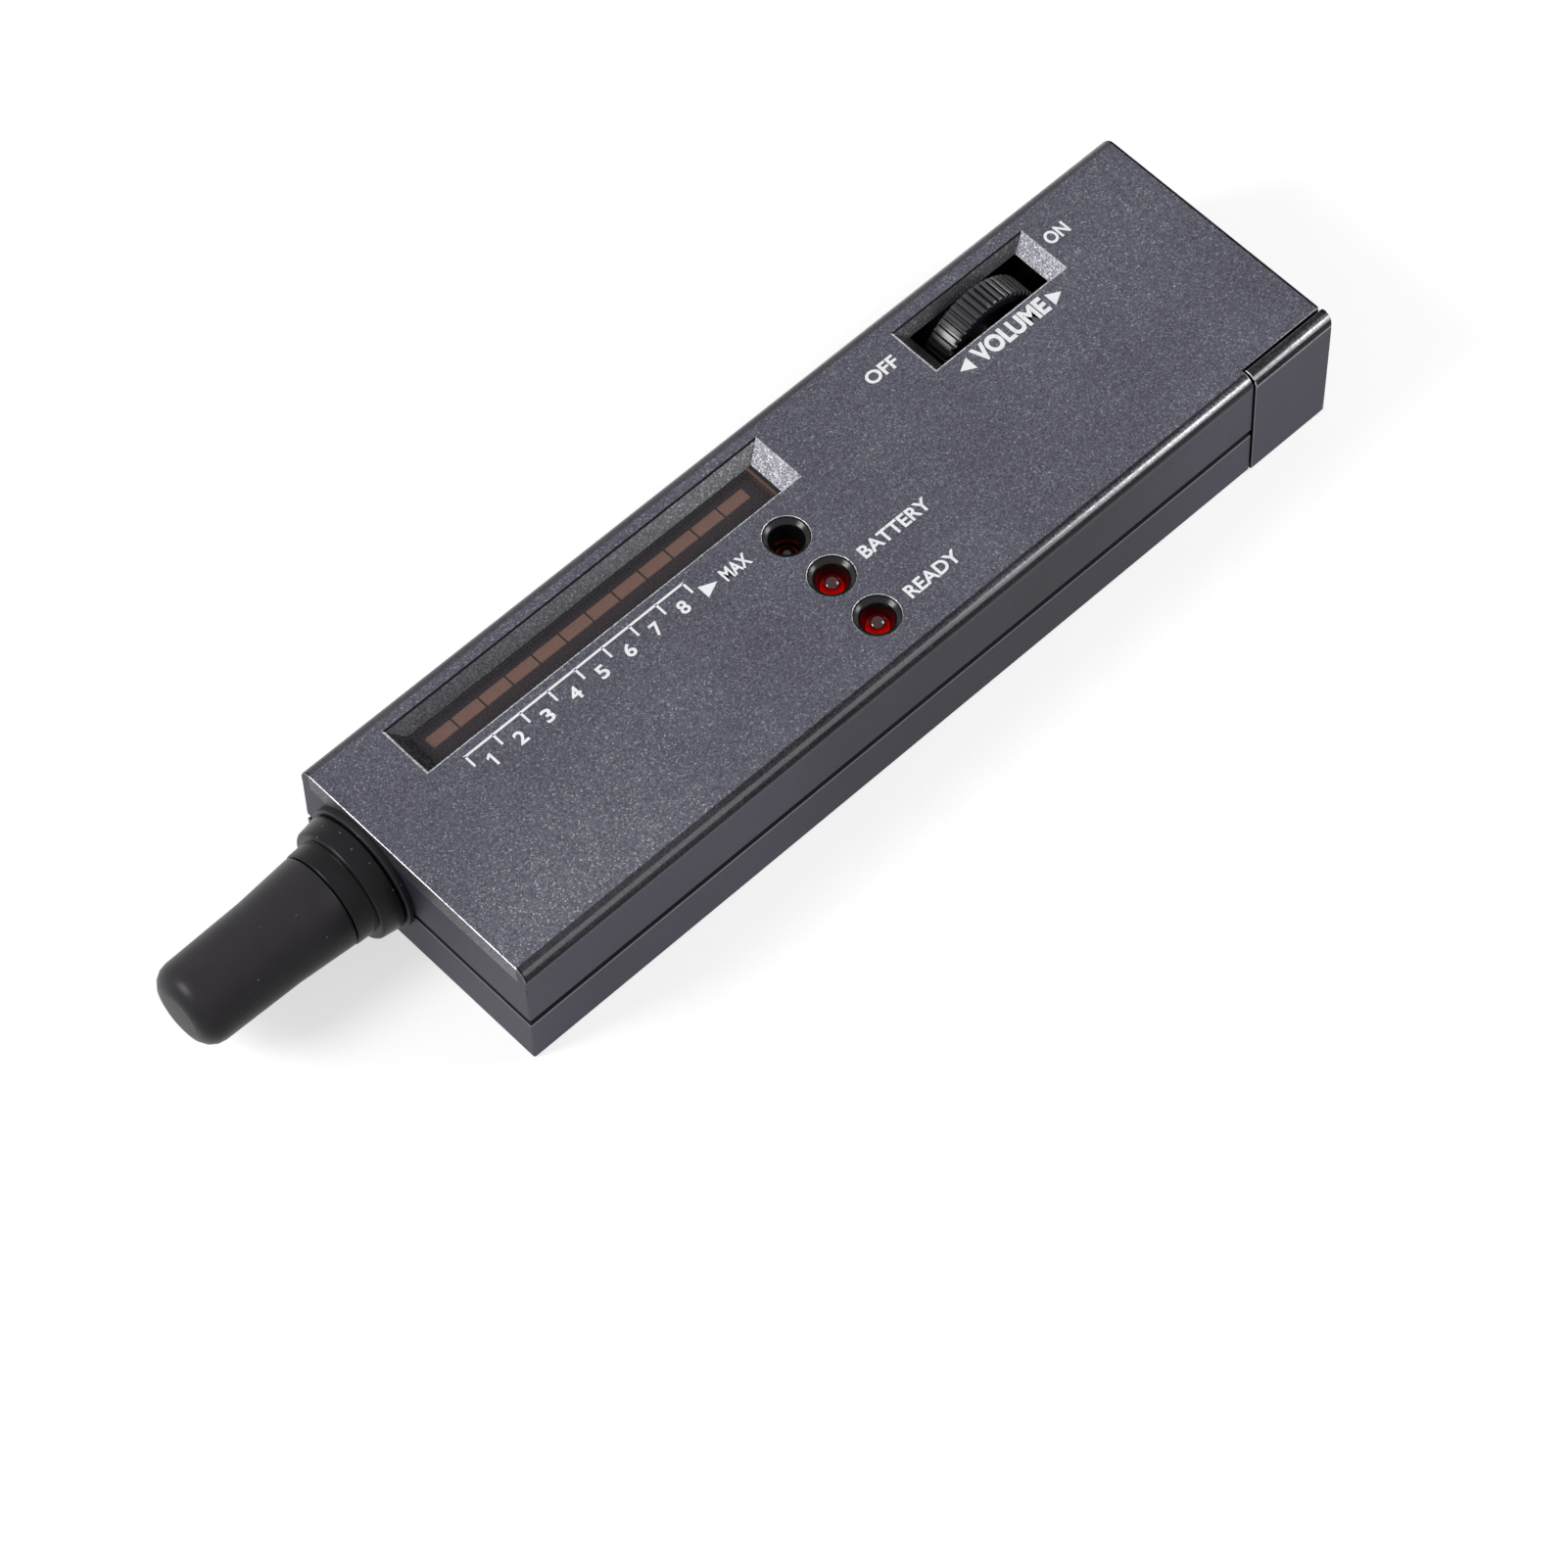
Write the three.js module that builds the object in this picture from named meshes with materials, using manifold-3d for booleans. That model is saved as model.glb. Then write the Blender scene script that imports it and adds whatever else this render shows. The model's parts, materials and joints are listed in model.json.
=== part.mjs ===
// A hand-held thermal gem tester. A moulded two-part housing holds a row of twelve bar
// lamps behind a window, three signal lamps in black cups, a ribbed thumbwheel and a
// 9 V block battery behind a slide-off end cover. A stepped nose carries the sprung
// copper probe, and a soft cap covers it.
//
// Sizes are in millimetres. X runs from the probe towards the battery end, Y from the
// near long side towards the far one, and Z is up. Places along X are counted from the
// housing's front face, until the last lines set the whole about its own middle.

import * as THREE from "three";
import { mergeVertices } from "three/addons/utils/BufferGeometryUtils.js";
import { ConvexGeometry } from "three/addons/geometries/ConvexGeometry.js";
import Module from "manifold-3d";

// Clearances, shared by every piece
const fit = {
  touch: 0.1, // pieces that slide on or are trapped by each other
  seat: 0.3, // pieces that only lie near each other
  seam: 0.35, // the line round the battery cover
};
const cut = 1; // how far a cutting tool runs past the face that it cuts
const weld = 1e-4;

// Facets in a full turn, and in a rounded edge
const facets = { fine: 36, round: 24, plain: 14, small: 10, wire: 6, arc: 5, hiddenArc: 2 };

const battery = {
  length: 46.4, // without its terminals
  width: 26.5,
  thickness: 17.5,
  corner: 1.6,
  terminal: 2.1, // how far the terminals stand out
  spread: 12.7, // between the two terminals
  stud: 2.8, // radius of the round terminal
  ring: 3.9, // outer radius of the open terminal
  ringWall: 0.9,
  headroom: 0.5,
  play: 0.2,
};

const housing = {
  side: 1.8, // walls of both shells
  plate: 1.2, // top of the upper shell
  floor: 1,
  draft: 0.34, // what each side leans in by, from bottom to top
  topEdge: 1.8,
  footEdge: 0.5,
  parting: 9, // height of the line between the shells
  seam: 0.5,
  lip: 0.8, // inner lip of the lower shell that closes the seam
  lipRise: 1.5,
  partition: 1, // between the battery and the wheel
};

const cover = {
  length: 14.5, // of its two cheeks
  cheek: 1,
  rear: 1.4,
  proud: 0.2,
  lip: 2.3, // of its rounded edge at the near side of the top plate
  corner: 1.1,
  pad: 0.5, // foam against the battery
  padMargin: 4,
  grooves: 5,
  groove: 0.9,
  grooveDepth: 0.4,
  groovePitch: 2,
  grooveMargin: 9,
  spigotGap: 1.9, // from the lower shell's tongues, inside the cheeks, to the rear wall
};

const wheel = {
  thickness: 4.1,
  proud: 0.6, // above the top face
  under: 1.5, // above the floor
  ribs: 52,
  ribDepth: 0.45,
  ribShare: 0.52, // part of the pitch that a rib fills at its crest
  ribRootShare: 0.66,
  rim: 0.3, // chamfer of the ribs' ends
  hub: 3,
  web: 1.1, // depth of the dished ring beside the hub
  rimWall: 1.7,
  shaft: 1.5,
  screwLength: 1.6, // of the shank in the shaft
  screwPlay: 0.1, // round that shank
  partitionGap: 2.81,
};

const control = {
  thickness: 3.45,
  gap: 0.36, // from the wheel
  wallGap: 0.5,
  tabs: 3,
  tabWidth: 0.6,
  tabThickness: 0.4,
};

const recess = {
  depth: 2,
  wheelEnd: 2.2, // what the wheel's recess slopes in by at its ends
  wheelSide: 1.03,
  wheelGap: 1.05, // beside the wheel
  wheelRun: 0.55, // before and behind the wheel
  toCover: 4.9,
  displayEnd: 2.5,
  displayNear: 1, // what the display's recess slopes in by at its near side
  displayFar: 1.68,
  wall: 1,
};

const bars = {
  count: 12,
  pitch: 4.63,
  gap: 0.3,
  width: 1.85,
  height: 6,
  aside: 0.83, // beyond the display's middle line
  play: 0.1, // in the slots of the light mask
};

const display = {
  fromFront: 11.17,
  frontMargin: 1.6, // window before the row of bars
  rearMargin: 2.85,
  opening: 5.7,
  ledge: 1,
  window: 1,
  windowGap: 0.15,
  maskDrop: 0.15, // the mask's face lies below the bars' faces
};

const lamps = {
  count: 3,
  fromFront: 68.16,
  displayGap: 2.35, // plate between the display recess and the first hole
  between: 1.98, // plate between two holes
  sideGap: 5.12, // from the last hole to the near side
  cupEdge: 0.12,
  cupDepth: 2.85,
  flange: 0.77, // what the cup's flange stands out beyond the hole
  flangeThickness: 0.9,
  play: 0.2, // round a lamp in the bottom of its cup
  sleeveWall: 0.75,
  sleeveLength: 1,
  radius: 1.55,
  depth: 0.95, // from the top face down to a dome
  darkDrop: 2.4, // the first lamp sits this much lower
  bodyLength: 4.6,
  base: 1.9,
  baseThickness: 1,
  leg: 0.5,
  legSpread: 2.54,
};

const board = {
  thickness: 1.6,
  fromProbe: 6,
  pastLamps: 15.3,
  wallGap: 0.6,
  wheelGap: 0.6,
};

const boss = {
  radius: 3,
  hole: 1.3,
  head: 2.3, // radius of the pocket for a screw's head
  pocket: 2.2,
  depth: 5, // of the screw's hole in the upper shell
  fromFront: 7.5,
  fromSide: 5.3,
  toCover: 0.4,
};

const screw = {
  shank: 1.15,
  head: 2,
  headThickness: 1.4,
  crownShare: 0.8, // of the head's radius, at its flat crown
  crownDepthShare: 0.4, // of the head's thickness, from the crown to the full radius
  slot: 0.5,
  slotDepth: 0.7,
  boardLength: 7,
};

const post = { radius: 2.4 };

const bulkhead = { thickness: 1.1, window: 6, windowHeight: 4, top: 0.3 };

const snap = {
  pad: 1.7,
  behind: 0.5, // gap to the bulkhead
  inset: 0.5, // inside the battery's narrow sides
  heightInset: 2.5, // inside its wide ones
  corner: 2,
  wall: 0.8,
};

const nose = {
  aside: 3.6, // its axis lies this much nearer than the wheel's middle plane
  gasket: 1,
  gasketRim: 0.85, // from the gasket's edge to the housing's top and bottom faces
  ringInset: 0.4, // of the first ring inside the gasket
  ringStart: 1.1,
  ring: 3.4, // length of the first ring
  ringTaper: 0.5,
  ringEdge: 0.35,
  neck: 7.2,
  neckLength: 2.95,
  neckTaper: 0.12,
  hole: 0.2,
  flange: 1.5,
  flangeGap: 0.5, // from the inner flange to the housing's plate and floor
  bore: 4.5,
};

const cap = {
  start: 7.55,
  room: 2.4, // from the probe's point to the end of the cap's inside
  mouth: 6.95,
  kink: 8.7, // distance from the mouth to the end of the steeper taper
  kinkRadius: 6.35,
  endRadius: 6.07,
  wall: 1.25,
  fillet: 2.9,
  crown: 0.35,
  mouthEdge: 0.25,
};

const barrel = {
  shoulder: 4.6, // length gripped by the cap
  grip: 0.15,
  step: 0.35,
  reach: 17, // from the collar's face to the barrel's mouth
  tip: 1.9, // radius at the mouth
  tipEdge: 0.3,
  stem: 4.35,
  inside: 8,
  guide: 10.6, // length of the narrow bore at the mouth
  bore: 0.95,
  chamber: 2.6,
};

const probe = {
  radius: 0.8,
  reach: 3.2, // how far the point stands out of the barrel
  point: 0.22,
  pointLength: 1.5,
  collar: 2.2,
  collarLength: 1.2,
  heater: 1.35,
  heaterLength: 4,
  leg: 0.25,
  legSpread: 1.2,
  legPast: 1.5, // beyond the plug
  plug: 3.2,
  plugBore: 1.3,
};

const spring = { turns: 7, wire: 0.3, mean: 2, steps: 8, sides: 5 };

const lead = { battery: 0.6, probe: 0.4, steps: 12, beside: 0.45 };

// Electronic parts on the board, with the middle of each as a share of the main board
const boardParts = {
  chipWidth: 6.4,
  chipHeight: 3.3,
  chipLift: 0.5,
  chipEnd: 1.3,
  pin: 0.5,
  pinPitch: 2.54,
  pinSplay: 0.6,
  driverPins: 9,
  amplifierPins: 4,
  buzzerRadius: 5.5,
  buzzerHeight: 6.6,
  buzzerHole: 1,
  capacitorRadius: 3,
  smallCapacitorRadius: 2.4,
  capacitorHeight: 6.4,
  capacitorGroove: 0.25,
  capacitorEdge: 0.4,
  trimmer: 6.4,
  trimmerHeight: 3.4,
  trimmerScrew: 1.7,
  trimmerSlot: 0.5,
  resistorLength: 6.2,
  resistorRadius: 1.15,
  resistorWaist: 0.95,
  resistorLeg: 0.3,
  resistorSpan: 10,
};
const boardPlaceShares = {
  amplifier_chip: [0.144, 0.5],
  driver_chip: [0.44, 0.5],
  trimmer: [0.223, 0.21],
  capacitor_1: [0.38, 0.21],
  buzzer: [0.545, 0.21],
  resistor_1: [0.684, 0.58],
  resistor_2: [0.684, 0.26],
  capacitor_2: [0.914, 0.56],
  board_screw_1: [0.1, 0.13],
  board_screw_2: [0.92, 0.13],
};
const leadEndShares = { battery: [0.93, 0.33], probe: [0.045, 0.62] };

// Heights, worked out from the battery that the housing has to close over
const height =
  housing.floor + fit.touch + battery.thickness + battery.headroom + housing.plate;
const ceiling = height - housing.plate;
const wheelRadius = (height + wheel.proud - housing.floor - wheel.under) / 2;
const wheelHeight = height + wheel.proud - wheelRadius;
const barTop = height - recess.depth - display.window - display.windowGap;
const boardTop = barTop - bars.height;
const boardFoot = boardTop - board.thickness;
const noseHeight = height / 2;
const topShellFoot = housing.parting + housing.seam / 2;
const lowerShellTop = housing.parting - housing.seam / 2;

// Widths, from the battery at the near side to the wheel's control at the far one
const batteryPast = housing.side + battery.play + battery.width;
const partitionPast = batteryPast + fit.seat + housing.partition;
const wheelPast = partitionPast + wheel.partitionGap + wheel.thickness / 2;
const width =
  wheelPast + wheel.thickness / 2 + control.gap + control.thickness + control.wallGap + housing.side;
const half = width / 2;
const inner = half - housing.side;
const batteryLine = batteryPast - battery.width / 2 - half;
const partitionFace = partitionPast - half;
const wheelLine = wheelPast - half;
const noseLine = wheelLine - nose.aside;

// The lamps' holes share the width between the display recess and the near side
const recessEdge = wheelLine - display.opening / 2 - recess.displayNear;
const lampRoom = recessEdge + half - lamps.displayGap - lamps.sideGap;
const lampRim = (lampRoom - (lamps.count - 1) * lamps.between) / (2 * lamps.count);
const lampPitch = 2 * lampRim + lamps.between;

// Lengths, from the front face to the battery cover
const barRow = bars.count * bars.pitch - bars.gap;
const openingStart = display.fromFront + recess.displayEnd;
const openingEnd = openingStart + display.frontMargin + barRow + display.rearMargin;
const boardStart = barrel.inside + board.fromProbe;
const boardEnd = lamps.fromFront + board.pastLamps;
const middleBoss = boardEnd + fit.touch + boss.radius;
const bulkheadFace = middleBoss + boss.radius + fit.touch + bulkhead.thickness;
const snapStart = bulkheadFace + snap.behind;
const batteryStart = snapStart + snap.pad + fit.seat + battery.terminal;
const batteryEnd = batteryStart + battery.length;
const coverInside = batteryEnd + fit.touch + cover.pad;
const coverEnd = coverInside + cover.rear;
const length = coverEnd - cover.proud;
const coverStart = length - cover.length;
const rearBoss = coverStart - boss.toCover - boss.radius;
const wheelPlace = coverStart - recess.toCover - recess.wheelEnd - recess.wheelRun - wheelRadius;

// Lengths along the nose, from the front face outwards
const noseFace = nose.ringStart + nose.ring + nose.neckLength;
const barrelMouth = noseFace + barrel.reach;
const probeEnd = barrelMouth + probe.reach;
const capLength = probeEnd + cap.room + cap.wall - cap.start;

// Colours from the photograph
const finish = {
  shell: { color: 0x54545f, roughness: 0.55, metalness: 0.25 },
  black: { color: 0x1c1c1e, roughness: 0.45 },
  rubber: { color: 0x232324, roughness: 0.6 },
  window: { color: 0x3a2c2c, roughness: 0.12 },
  bar: { color: 0x7a5f52, roughness: 0.5 },
  red: { color: 0xc0130d, roughness: 0.15 },
  amber: { color: 0x4a2008, roughness: 0.15 },
  board: { color: 0x2f6b45, roughness: 0.6 },
  chip: { color: 0x232426, roughness: 0.6 },
  steel: { color: 0x9a9a9c, roughness: 0.3, metalness: 0.95 },
  copper: { color: 0xb56a3c, roughness: 0.3, metalness: 0.95 },
  ceramic: { color: 0xd8d2c4, roughness: 0.7 },
  sleeve: { color: 0x2d3f73, roughness: 0.4 },
  tan: { color: 0xc9a77c, roughness: 0.6 },
  blue: { color: 0x2a55a8, roughness: 0.5 },
  leadRed: { color: 0xb41f1c, roughness: 0.5 },
  leadBlack: { color: 0x1b1b1b, roughness: 0.5 },
  leadWhite: { color: 0xd9d9d3, roughness: 0.5 },
  foam: { color: 0x3c3c3e, roughness: 0.95 },
};

const kernel = await Module();
kernel.setup();

// Solids and meshes

function closedMesh(geometry, reversed) {
  const plain = new THREE.BufferGeometry();
  plain.setAttribute("position", geometry.getAttribute("position"));
  plain.setIndex(geometry.getIndex());
  const merged = mergeVertices(plain, weld);
  const corners = merged.getIndex().array;
  const triangles = [];
  for (let i = 0; i < corners.length; i += 3) {
    const [a, b, c] = corners.subarray(i, i + 3);
    if (a === b || b === c || c === a) continue;
    triangles.push(a, ...(reversed ? [c, b] : [b, c]));
  }
  return new kernel.Manifold(
    new kernel.Mesh({
      numProp: 3,
      vertProperties: merged.getAttribute("position").array,
      triVerts: new Uint32Array(triangles),
    }),
  );
}

function solidOf(geometry) {
  const solid = closedMesh(geometry, false);
  return solid.volume() > 0 ? solid : closedMesh(geometry, true);
}

function geometryOf(solid) {
  const { numProp, numVert, vertProperties, triVerts } = solid.getMesh();
  const places = new Float32Array(numVert * 3);
  for (let i = 0; i < numVert; i += 1) {
    places.set(vertProperties.subarray(i * numProp, i * numProp + 3), i * 3);
  }
  const shared = new THREE.BufferGeometry();
  shared.setAttribute("position", new THREE.BufferAttribute(places, 3));
  shared.setIndex(new THREE.BufferAttribute(triVerts, 1));
  const faceted = shared.toNonIndexed();
  faceted.computeVertexNormals();
  return faceted;
}

function piece(name, solid, look, parent) {
  const mesh = new THREE.Mesh(geometryOf(solid), new THREE.MeshStandardMaterial(look));
  mesh.name = name;
  parent.add(mesh);
  return mesh;
}

function group(parent, x, y, z) {
  const made = new THREE.Group();
  made.position.set(x, y, z);
  parent.add(made);
  return made;
}

const joined = (solids) => solids.reduce((whole, solid) => whole.add(solid));

// A box between two places along each axis. Its corners are set to those very places, so
// that boxes that share a place share a face.
function block(x, y, z) {
  const box = new THREE.BoxGeometry();
  const corners = box.getAttribute("position");
  for (let i = 0; i < corners.count; i += 1) {
    const [u, v, w] = [corners.getX(i), corners.getY(i), corners.getZ(i)].map((at) => (at > 0 ? 1 : 0));
    corners.setXYZ(i, x[u], y[v], z[w]);
  }
  return solidOf(box);
}

// A rod along one axis, from one place on it to another
function rod(axis, radius, [from, to], [u, v], sides = facets.plain) {
  const geometry = new THREE.CylinderGeometry(radius, radius, to - from, sides);
  const middle = (from + to) / 2;
  if (axis === "x") geometry.rotateZ(Math.PI / 2).translate(middle, u, v);
  if (axis === "y") geometry.translate(u, middle, v);
  if (axis === "z") geometry.rotateX(Math.PI / 2).translate(u, v, middle);
  return solidOf(geometry);
}

// A turned piece, from [radius, place along the axis] pairs. It stands along Y.
function turned(profile, sides = facets.fine) {
  const points = profile.map(([radius, along]) => new THREE.Vector2(radius, along));
  return solidOf(new THREE.LatheGeometry(points, sides));
}

// The same, standing along Z
function turnedUpright(profile, sides = facets.round) {
  const points = profile.map(([radius, along]) => new THREE.Vector2(radius, along));
  return solidOf(new THREE.LatheGeometry(points, sides).rotateX(Math.PI / 2));
}

function turnedRing(profile, sides = facets.fine) {
  return turned([...profile, profile[0]], sides);
}

// Turns X into Y, Y into Z and Z into X
const towardsX = new THREE.Matrix4().makeBasis(
  new THREE.Vector3(0, 1, 0),
  new THREE.Vector3(0, 0, 1),
  new THREE.Vector3(1, 0, 0),
);

// A section drawn in Y and Z, drawn out along X
function drawnAlongX(shape, [from, to]) {
  const geometry = new THREE.ExtrudeGeometry(shape, {
    depth: to - from,
    bevelEnabled: false,
    curveSegments: facets.arc,
  });
  return solidOf(geometry.applyMatrix4(towardsX).translate(from, 0, 0));
}

// An outline drawn in X and Y, drawn up along Z
function drawnUp(shape, [from, to]) {
  const geometry = new THREE.ExtrudeGeometry(shape, {
    depth: to - from,
    bevelEnabled: false,
    curveSegments: facets.arc,
  });
  return solidOf(geometry.translate(0, 0, from));
}

function roundedOutline([x0, x1], [y0, y1], radius) {
  const shape = new THREE.Shape();
  const quarter = Math.PI / 2;
  shape.absarc(x1 - radius, y0 + radius, radius, -quarter, 0);
  shape.absarc(x1 - radius, y1 - radius, radius, 0, quarter);
  shape.absarc(x0 + radius, y1 - radius, radius, quarter, 2 * quarter);
  shape.absarc(x0 + radius, y0 + radius, radius, 2 * quarter, 3 * quarter);
  shape.closePath();
  return shape;
}

// A wire of one thickness along a smooth curve
function wire(curve, radius, steps, sides = facets.wire) {
  const shape = new THREE.Shape();
  for (let i = 0; i < sides; i += 1) {
    const turn = (2 * Math.PI * i) / sides;
    const [u, v] = [radius * Math.cos(turn), radius * Math.sin(turn)];
    if (i === 0) shape.moveTo(u, v);
    else shape.lineTo(u, v);
  }
  shape.closePath();
  return solidOf(new THREE.ExtrudeGeometry(shape, { steps, extrudePath: curve }));
}

// Housing

// The section of the closed housing: sides that lean in a little, under rounded edges
function housingSection(proud) {
  const foot = half + proud;
  const head = foot - housing.draft;
  const quarter = Math.PI / 2;
  const shape = new THREE.Shape();
  const topCentre = height - housing.topEdge;
  shape.absarc(foot - housing.footEdge, housing.footEdge, housing.footEdge, -quarter, 0);
  shape.absarc(head - housing.topEdge, topCentre, housing.topEdge, 0, quarter);
  shape.absarc(housing.topEdge - head, topCentre, housing.topEdge, quarter, 2 * quarter);
  shape.absarc(housing.footEdge - foot, housing.footEdge, housing.footEdge, 2 * quarter, 3 * quarter);
  shape.closePath();
  return shape;
}

// A recess whose four walls slope in to its floor
function funnel([x0, x1], [y0, y1], endSlope, nearSlope, farSlope) {
  const corners = [];
  for (const [rise, share] of [[0, 1], [recess.depth + cut, -cut / recess.depth]]) {
    for (const x of [x0 - endSlope * (1 - share), x1 + endSlope * (1 - share)]) {
      for (const y of [y0 - nearSlope * (1 - share), y1 + farSlope * (1 - share)]) {
        corners.push(new THREE.Vector3(x, y, height - recess.depth + rise));
      }
    }
  }
  return solidOf(new ConvexGeometry(corners));
}

const displayOpening = {
  x: [openingStart, openingEnd],
  y: [wheelLine - display.opening / 2, wheelLine + display.opening / 2],
};
const wheelOpening = {
  x: [wheelPlace - wheelRadius - recess.wheelRun, wheelPlace + wheelRadius + recess.wheelRun],
  y: [
    wheelLine - wheel.thickness / 2 - recess.wheelGap,
    wheelLine + wheel.thickness / 2 + recess.wheelGap,
  ],
};

const widened = ([from, to], by, andBy = by) => [from - by, to + andBy];

const bossPlaces = [
  [boss.fromFront, boss.fromSide - half],
  [middleBoss, boss.fromSide - half],
  [middleBoss, partitionFace - fit.touch - boss.radius - housing.partition],
  [rearBoss, half - boss.fromSide],
];

const lampPlace = (index) => [
  lamps.fromFront,
  recessEdge - lamps.displayGap - lampRim - index * lampPitch,
];

const noseHole = () =>
  rod("x", nose.neck + nose.hole, [-cut, housing.side + cut], [noseLine, noseHeight], facets.fine);

// What is open inside the housing's front and side walls, at one height or another
const insideWalls = (wall, heights, end) =>
  block([wall, end], [wall - half, half - wall], heights);

// The top plate over the battery cover. The cover's lip runs along its near side, and at
// its far side it has the housing's own rounded edge.
function coverPlate(from) {
  const ends = [from, length];
  const plan = roundedOutline([-length, length], [-width, half - housing.draft], cover.corner);
  const plate = block(ends, [housing.draft + cover.lip - half, half], [ceiling, height]);
  const edge = block(ends, [half - cover.cheek, half], [height - housing.topEdge, height]);
  return drawnAlongX(housingSection(0), ends)
    .intersect(drawnUp(plan, [0, height]))
    .intersect(plate.add(edge));
}

function topShell() {
  const wallEnd = coverStart - fit.seam / 2;
  const frameFoot = barTop - display.maskDrop;
  const pocketTop = height - recess.depth;
  const overlap = housing.plate / 2;

  let shell = drawnAlongX(housingSection(0), [0, wallEnd]);
  shell = shell.subtract(insideWalls(housing.side, [-cut, ceiling], wallEnd + cut));
  shell = shell.subtract(block([-cut, wallEnd + cut], widened([-half, half], cut), [-cut, topShellFoot]));
  const rebate = housing.side - housing.lip - fit.touch;
  const rebateTop = lowerShellTop + housing.lipRise + fit.seat;
  shell = shell.subtract(insideWalls(rebate, [-cut, rebateTop], wallEnd + cut));

  const pocket = {
    x: widened(displayOpening.x, display.ledge + fit.touch),
    y: widened(displayOpening.y, display.ledge + fit.touch),
  };
  const displayFrame = block(
    widened(pocket.x, recess.wall),
    widened(pocket.y, recess.wall),
    [frameFoot, ceiling + overlap],
  );
  const wheelFrame = block(
    widened(wheelOpening.x, recess.wheelEnd),
    widened(wheelOpening.y, recess.wheelSide),
    [pocketTop, ceiling + overlap],
  );
  const bosses = bossPlaces.map((place) =>
    rod("z", boss.radius, [topShellFoot, ceiling + overlap], place),
  );
  shell = joined([shell, coverPlate(wallEnd - cut), displayFrame, wheelFrame, ...bosses]);

  shell = shell.subtract(block(pocket.x, pocket.y, [frameFoot - cut, pocketTop]));
  const { displayEnd, displayNear, displayFar, wheelEnd, wheelSide } = recess;
  shell = shell.subtract(
    funnel(displayOpening.x, displayOpening.y, displayEnd, displayNear, displayFar),
  );
  shell = shell.subtract(
    funnel(wheelOpening.x, wheelOpening.y, wheelEnd, wheelSide, wheelSide),
  );
  shell = shell.subtract(block(wheelOpening.x, wheelOpening.y, [topShellFoot, height]));
  const throughPlate = widened([ceiling, height], cut);
  for (let i = 0; i < lamps.count; i += 1) {
    shell = shell.subtract(rod("z", lampRim, throughPlate, lampPlace(i), facets.round));
  }
  const screwHole = [topShellFoot - cut, topShellFoot + boss.depth];
  for (const place of bossPlaces) {
    shell = shell.subtract(rod("z", boss.hole, screwHole, place));
  }
  return shell.subtract(noseHole());
}

const boardPlace = (name) => {
  const [along, across] = boardPlaceShares[name];
  const edge = inner - board.wallGap;
  return [
    boardStart + along * (boardEnd - boardStart),
    -edge + across * 2 * edge,
  ];
};

// Plain posts under the board, one beside the nose and one below the narrow end
const plainPosts = () => [
  [boardPlace("board_screw_1")[0], wheelLine],
  [(boardEnd + wheelPlace - wheelRadius) / 2, wheelLine],
];

function bottomShell() {
  const wallEnd = coverStart - fit.seam / 2;
  const wallTop = ceiling - bulkhead.top;
  const overlap = housing.floor / 2;

  let shell = drawnAlongX(housingSection(0), [0, wallEnd]);
  shell = shell.subtract(insideWalls(housing.side, [housing.floor, height + cut], wallEnd + cut));
  shell = shell.subtract(
    block([-cut, wallEnd + cut], widened([-half, half], cut), [lowerShellTop, height + cut]),
  );
  const lipWall = housing.side - housing.lip;
  const lipHeights = [lowerShellTop - housing.lipRise, lowerShellTop + housing.lipRise];
  const lip = insideWalls(lipWall, lipHeights, wallEnd).subtract(
    insideWalls(housing.side, widened(lipHeights, cut), wallEnd + cut),
  );

  const cross = block(
    [bulkheadFace - bulkhead.thickness, bulkheadFace],
    [-inner, partitionFace],
    [housing.floor - overlap, wallTop],
  );
  const along = block(
    [bulkheadFace - bulkhead.thickness, wallEnd],
    [partitionFace - housing.partition, partitionFace],
    [housing.floor - overlap, wallTop],
  );
  const bosses = bossPlaces.map((place) =>
    rod("z", boss.radius, [0, topShellFoot - fit.seat], place),
  );
  const screwPosts = ["board_screw_1", "board_screw_2"].map(boardPlace);
  const posts = [...screwPosts, ...plainPosts()].map((place) =>
    rod("z", post.radius, [housing.floor - overlap, boardFoot], place),
  );
  shell = joined([shell, lip, cross, along, ...bosses, ...posts, ...spigots()]);

  const windowFoot = boardTop + fit.seat;
  shell = shell.subtract(
    block(
      widened([bulkheadFace - bulkhead.thickness, bulkheadFace], cut),
      widened([batteryLine, batteryLine], bulkhead.window / 2),
      [windowFoot, windowFoot + bulkhead.windowHeight],
    ),
  );
  for (const place of bossPlaces) {
    shell = shell.subtract(rod("z", boss.hole, [-cut, topShellFoot + cut], place));
    shell = shell.subtract(rod("z", boss.head, [-cut, boss.pocket], place));
  }
  for (const place of screwPosts) {
    shell = shell.subtract(rod("z", boss.hole, [boardFoot - screw.boardLength, boardFoot + cut], place));
  }
  return shell.subtract(noseHole());
}

// Two thin tongues that run on from the side walls, for the battery cover to slide over
function spigots() {
  const wallEnd = coverStart - fit.seam / 2;
  const end = coverInside - cover.spigotGap;
  const outside = half - cover.cheek - fit.touch;
  const tongueFoot = housing.floor + fit.touch;
  return [[-outside, -inner], [inner, outside]].flatMap((across) => [
    block([wallEnd - cover.cheek, end], across, [tongueFoot, lowerShellTop]),
    block([wallEnd + fit.seam, end], across, [lowerShellTop - housing.lip, ceiling - fit.touch]),
  ]);
}

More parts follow.
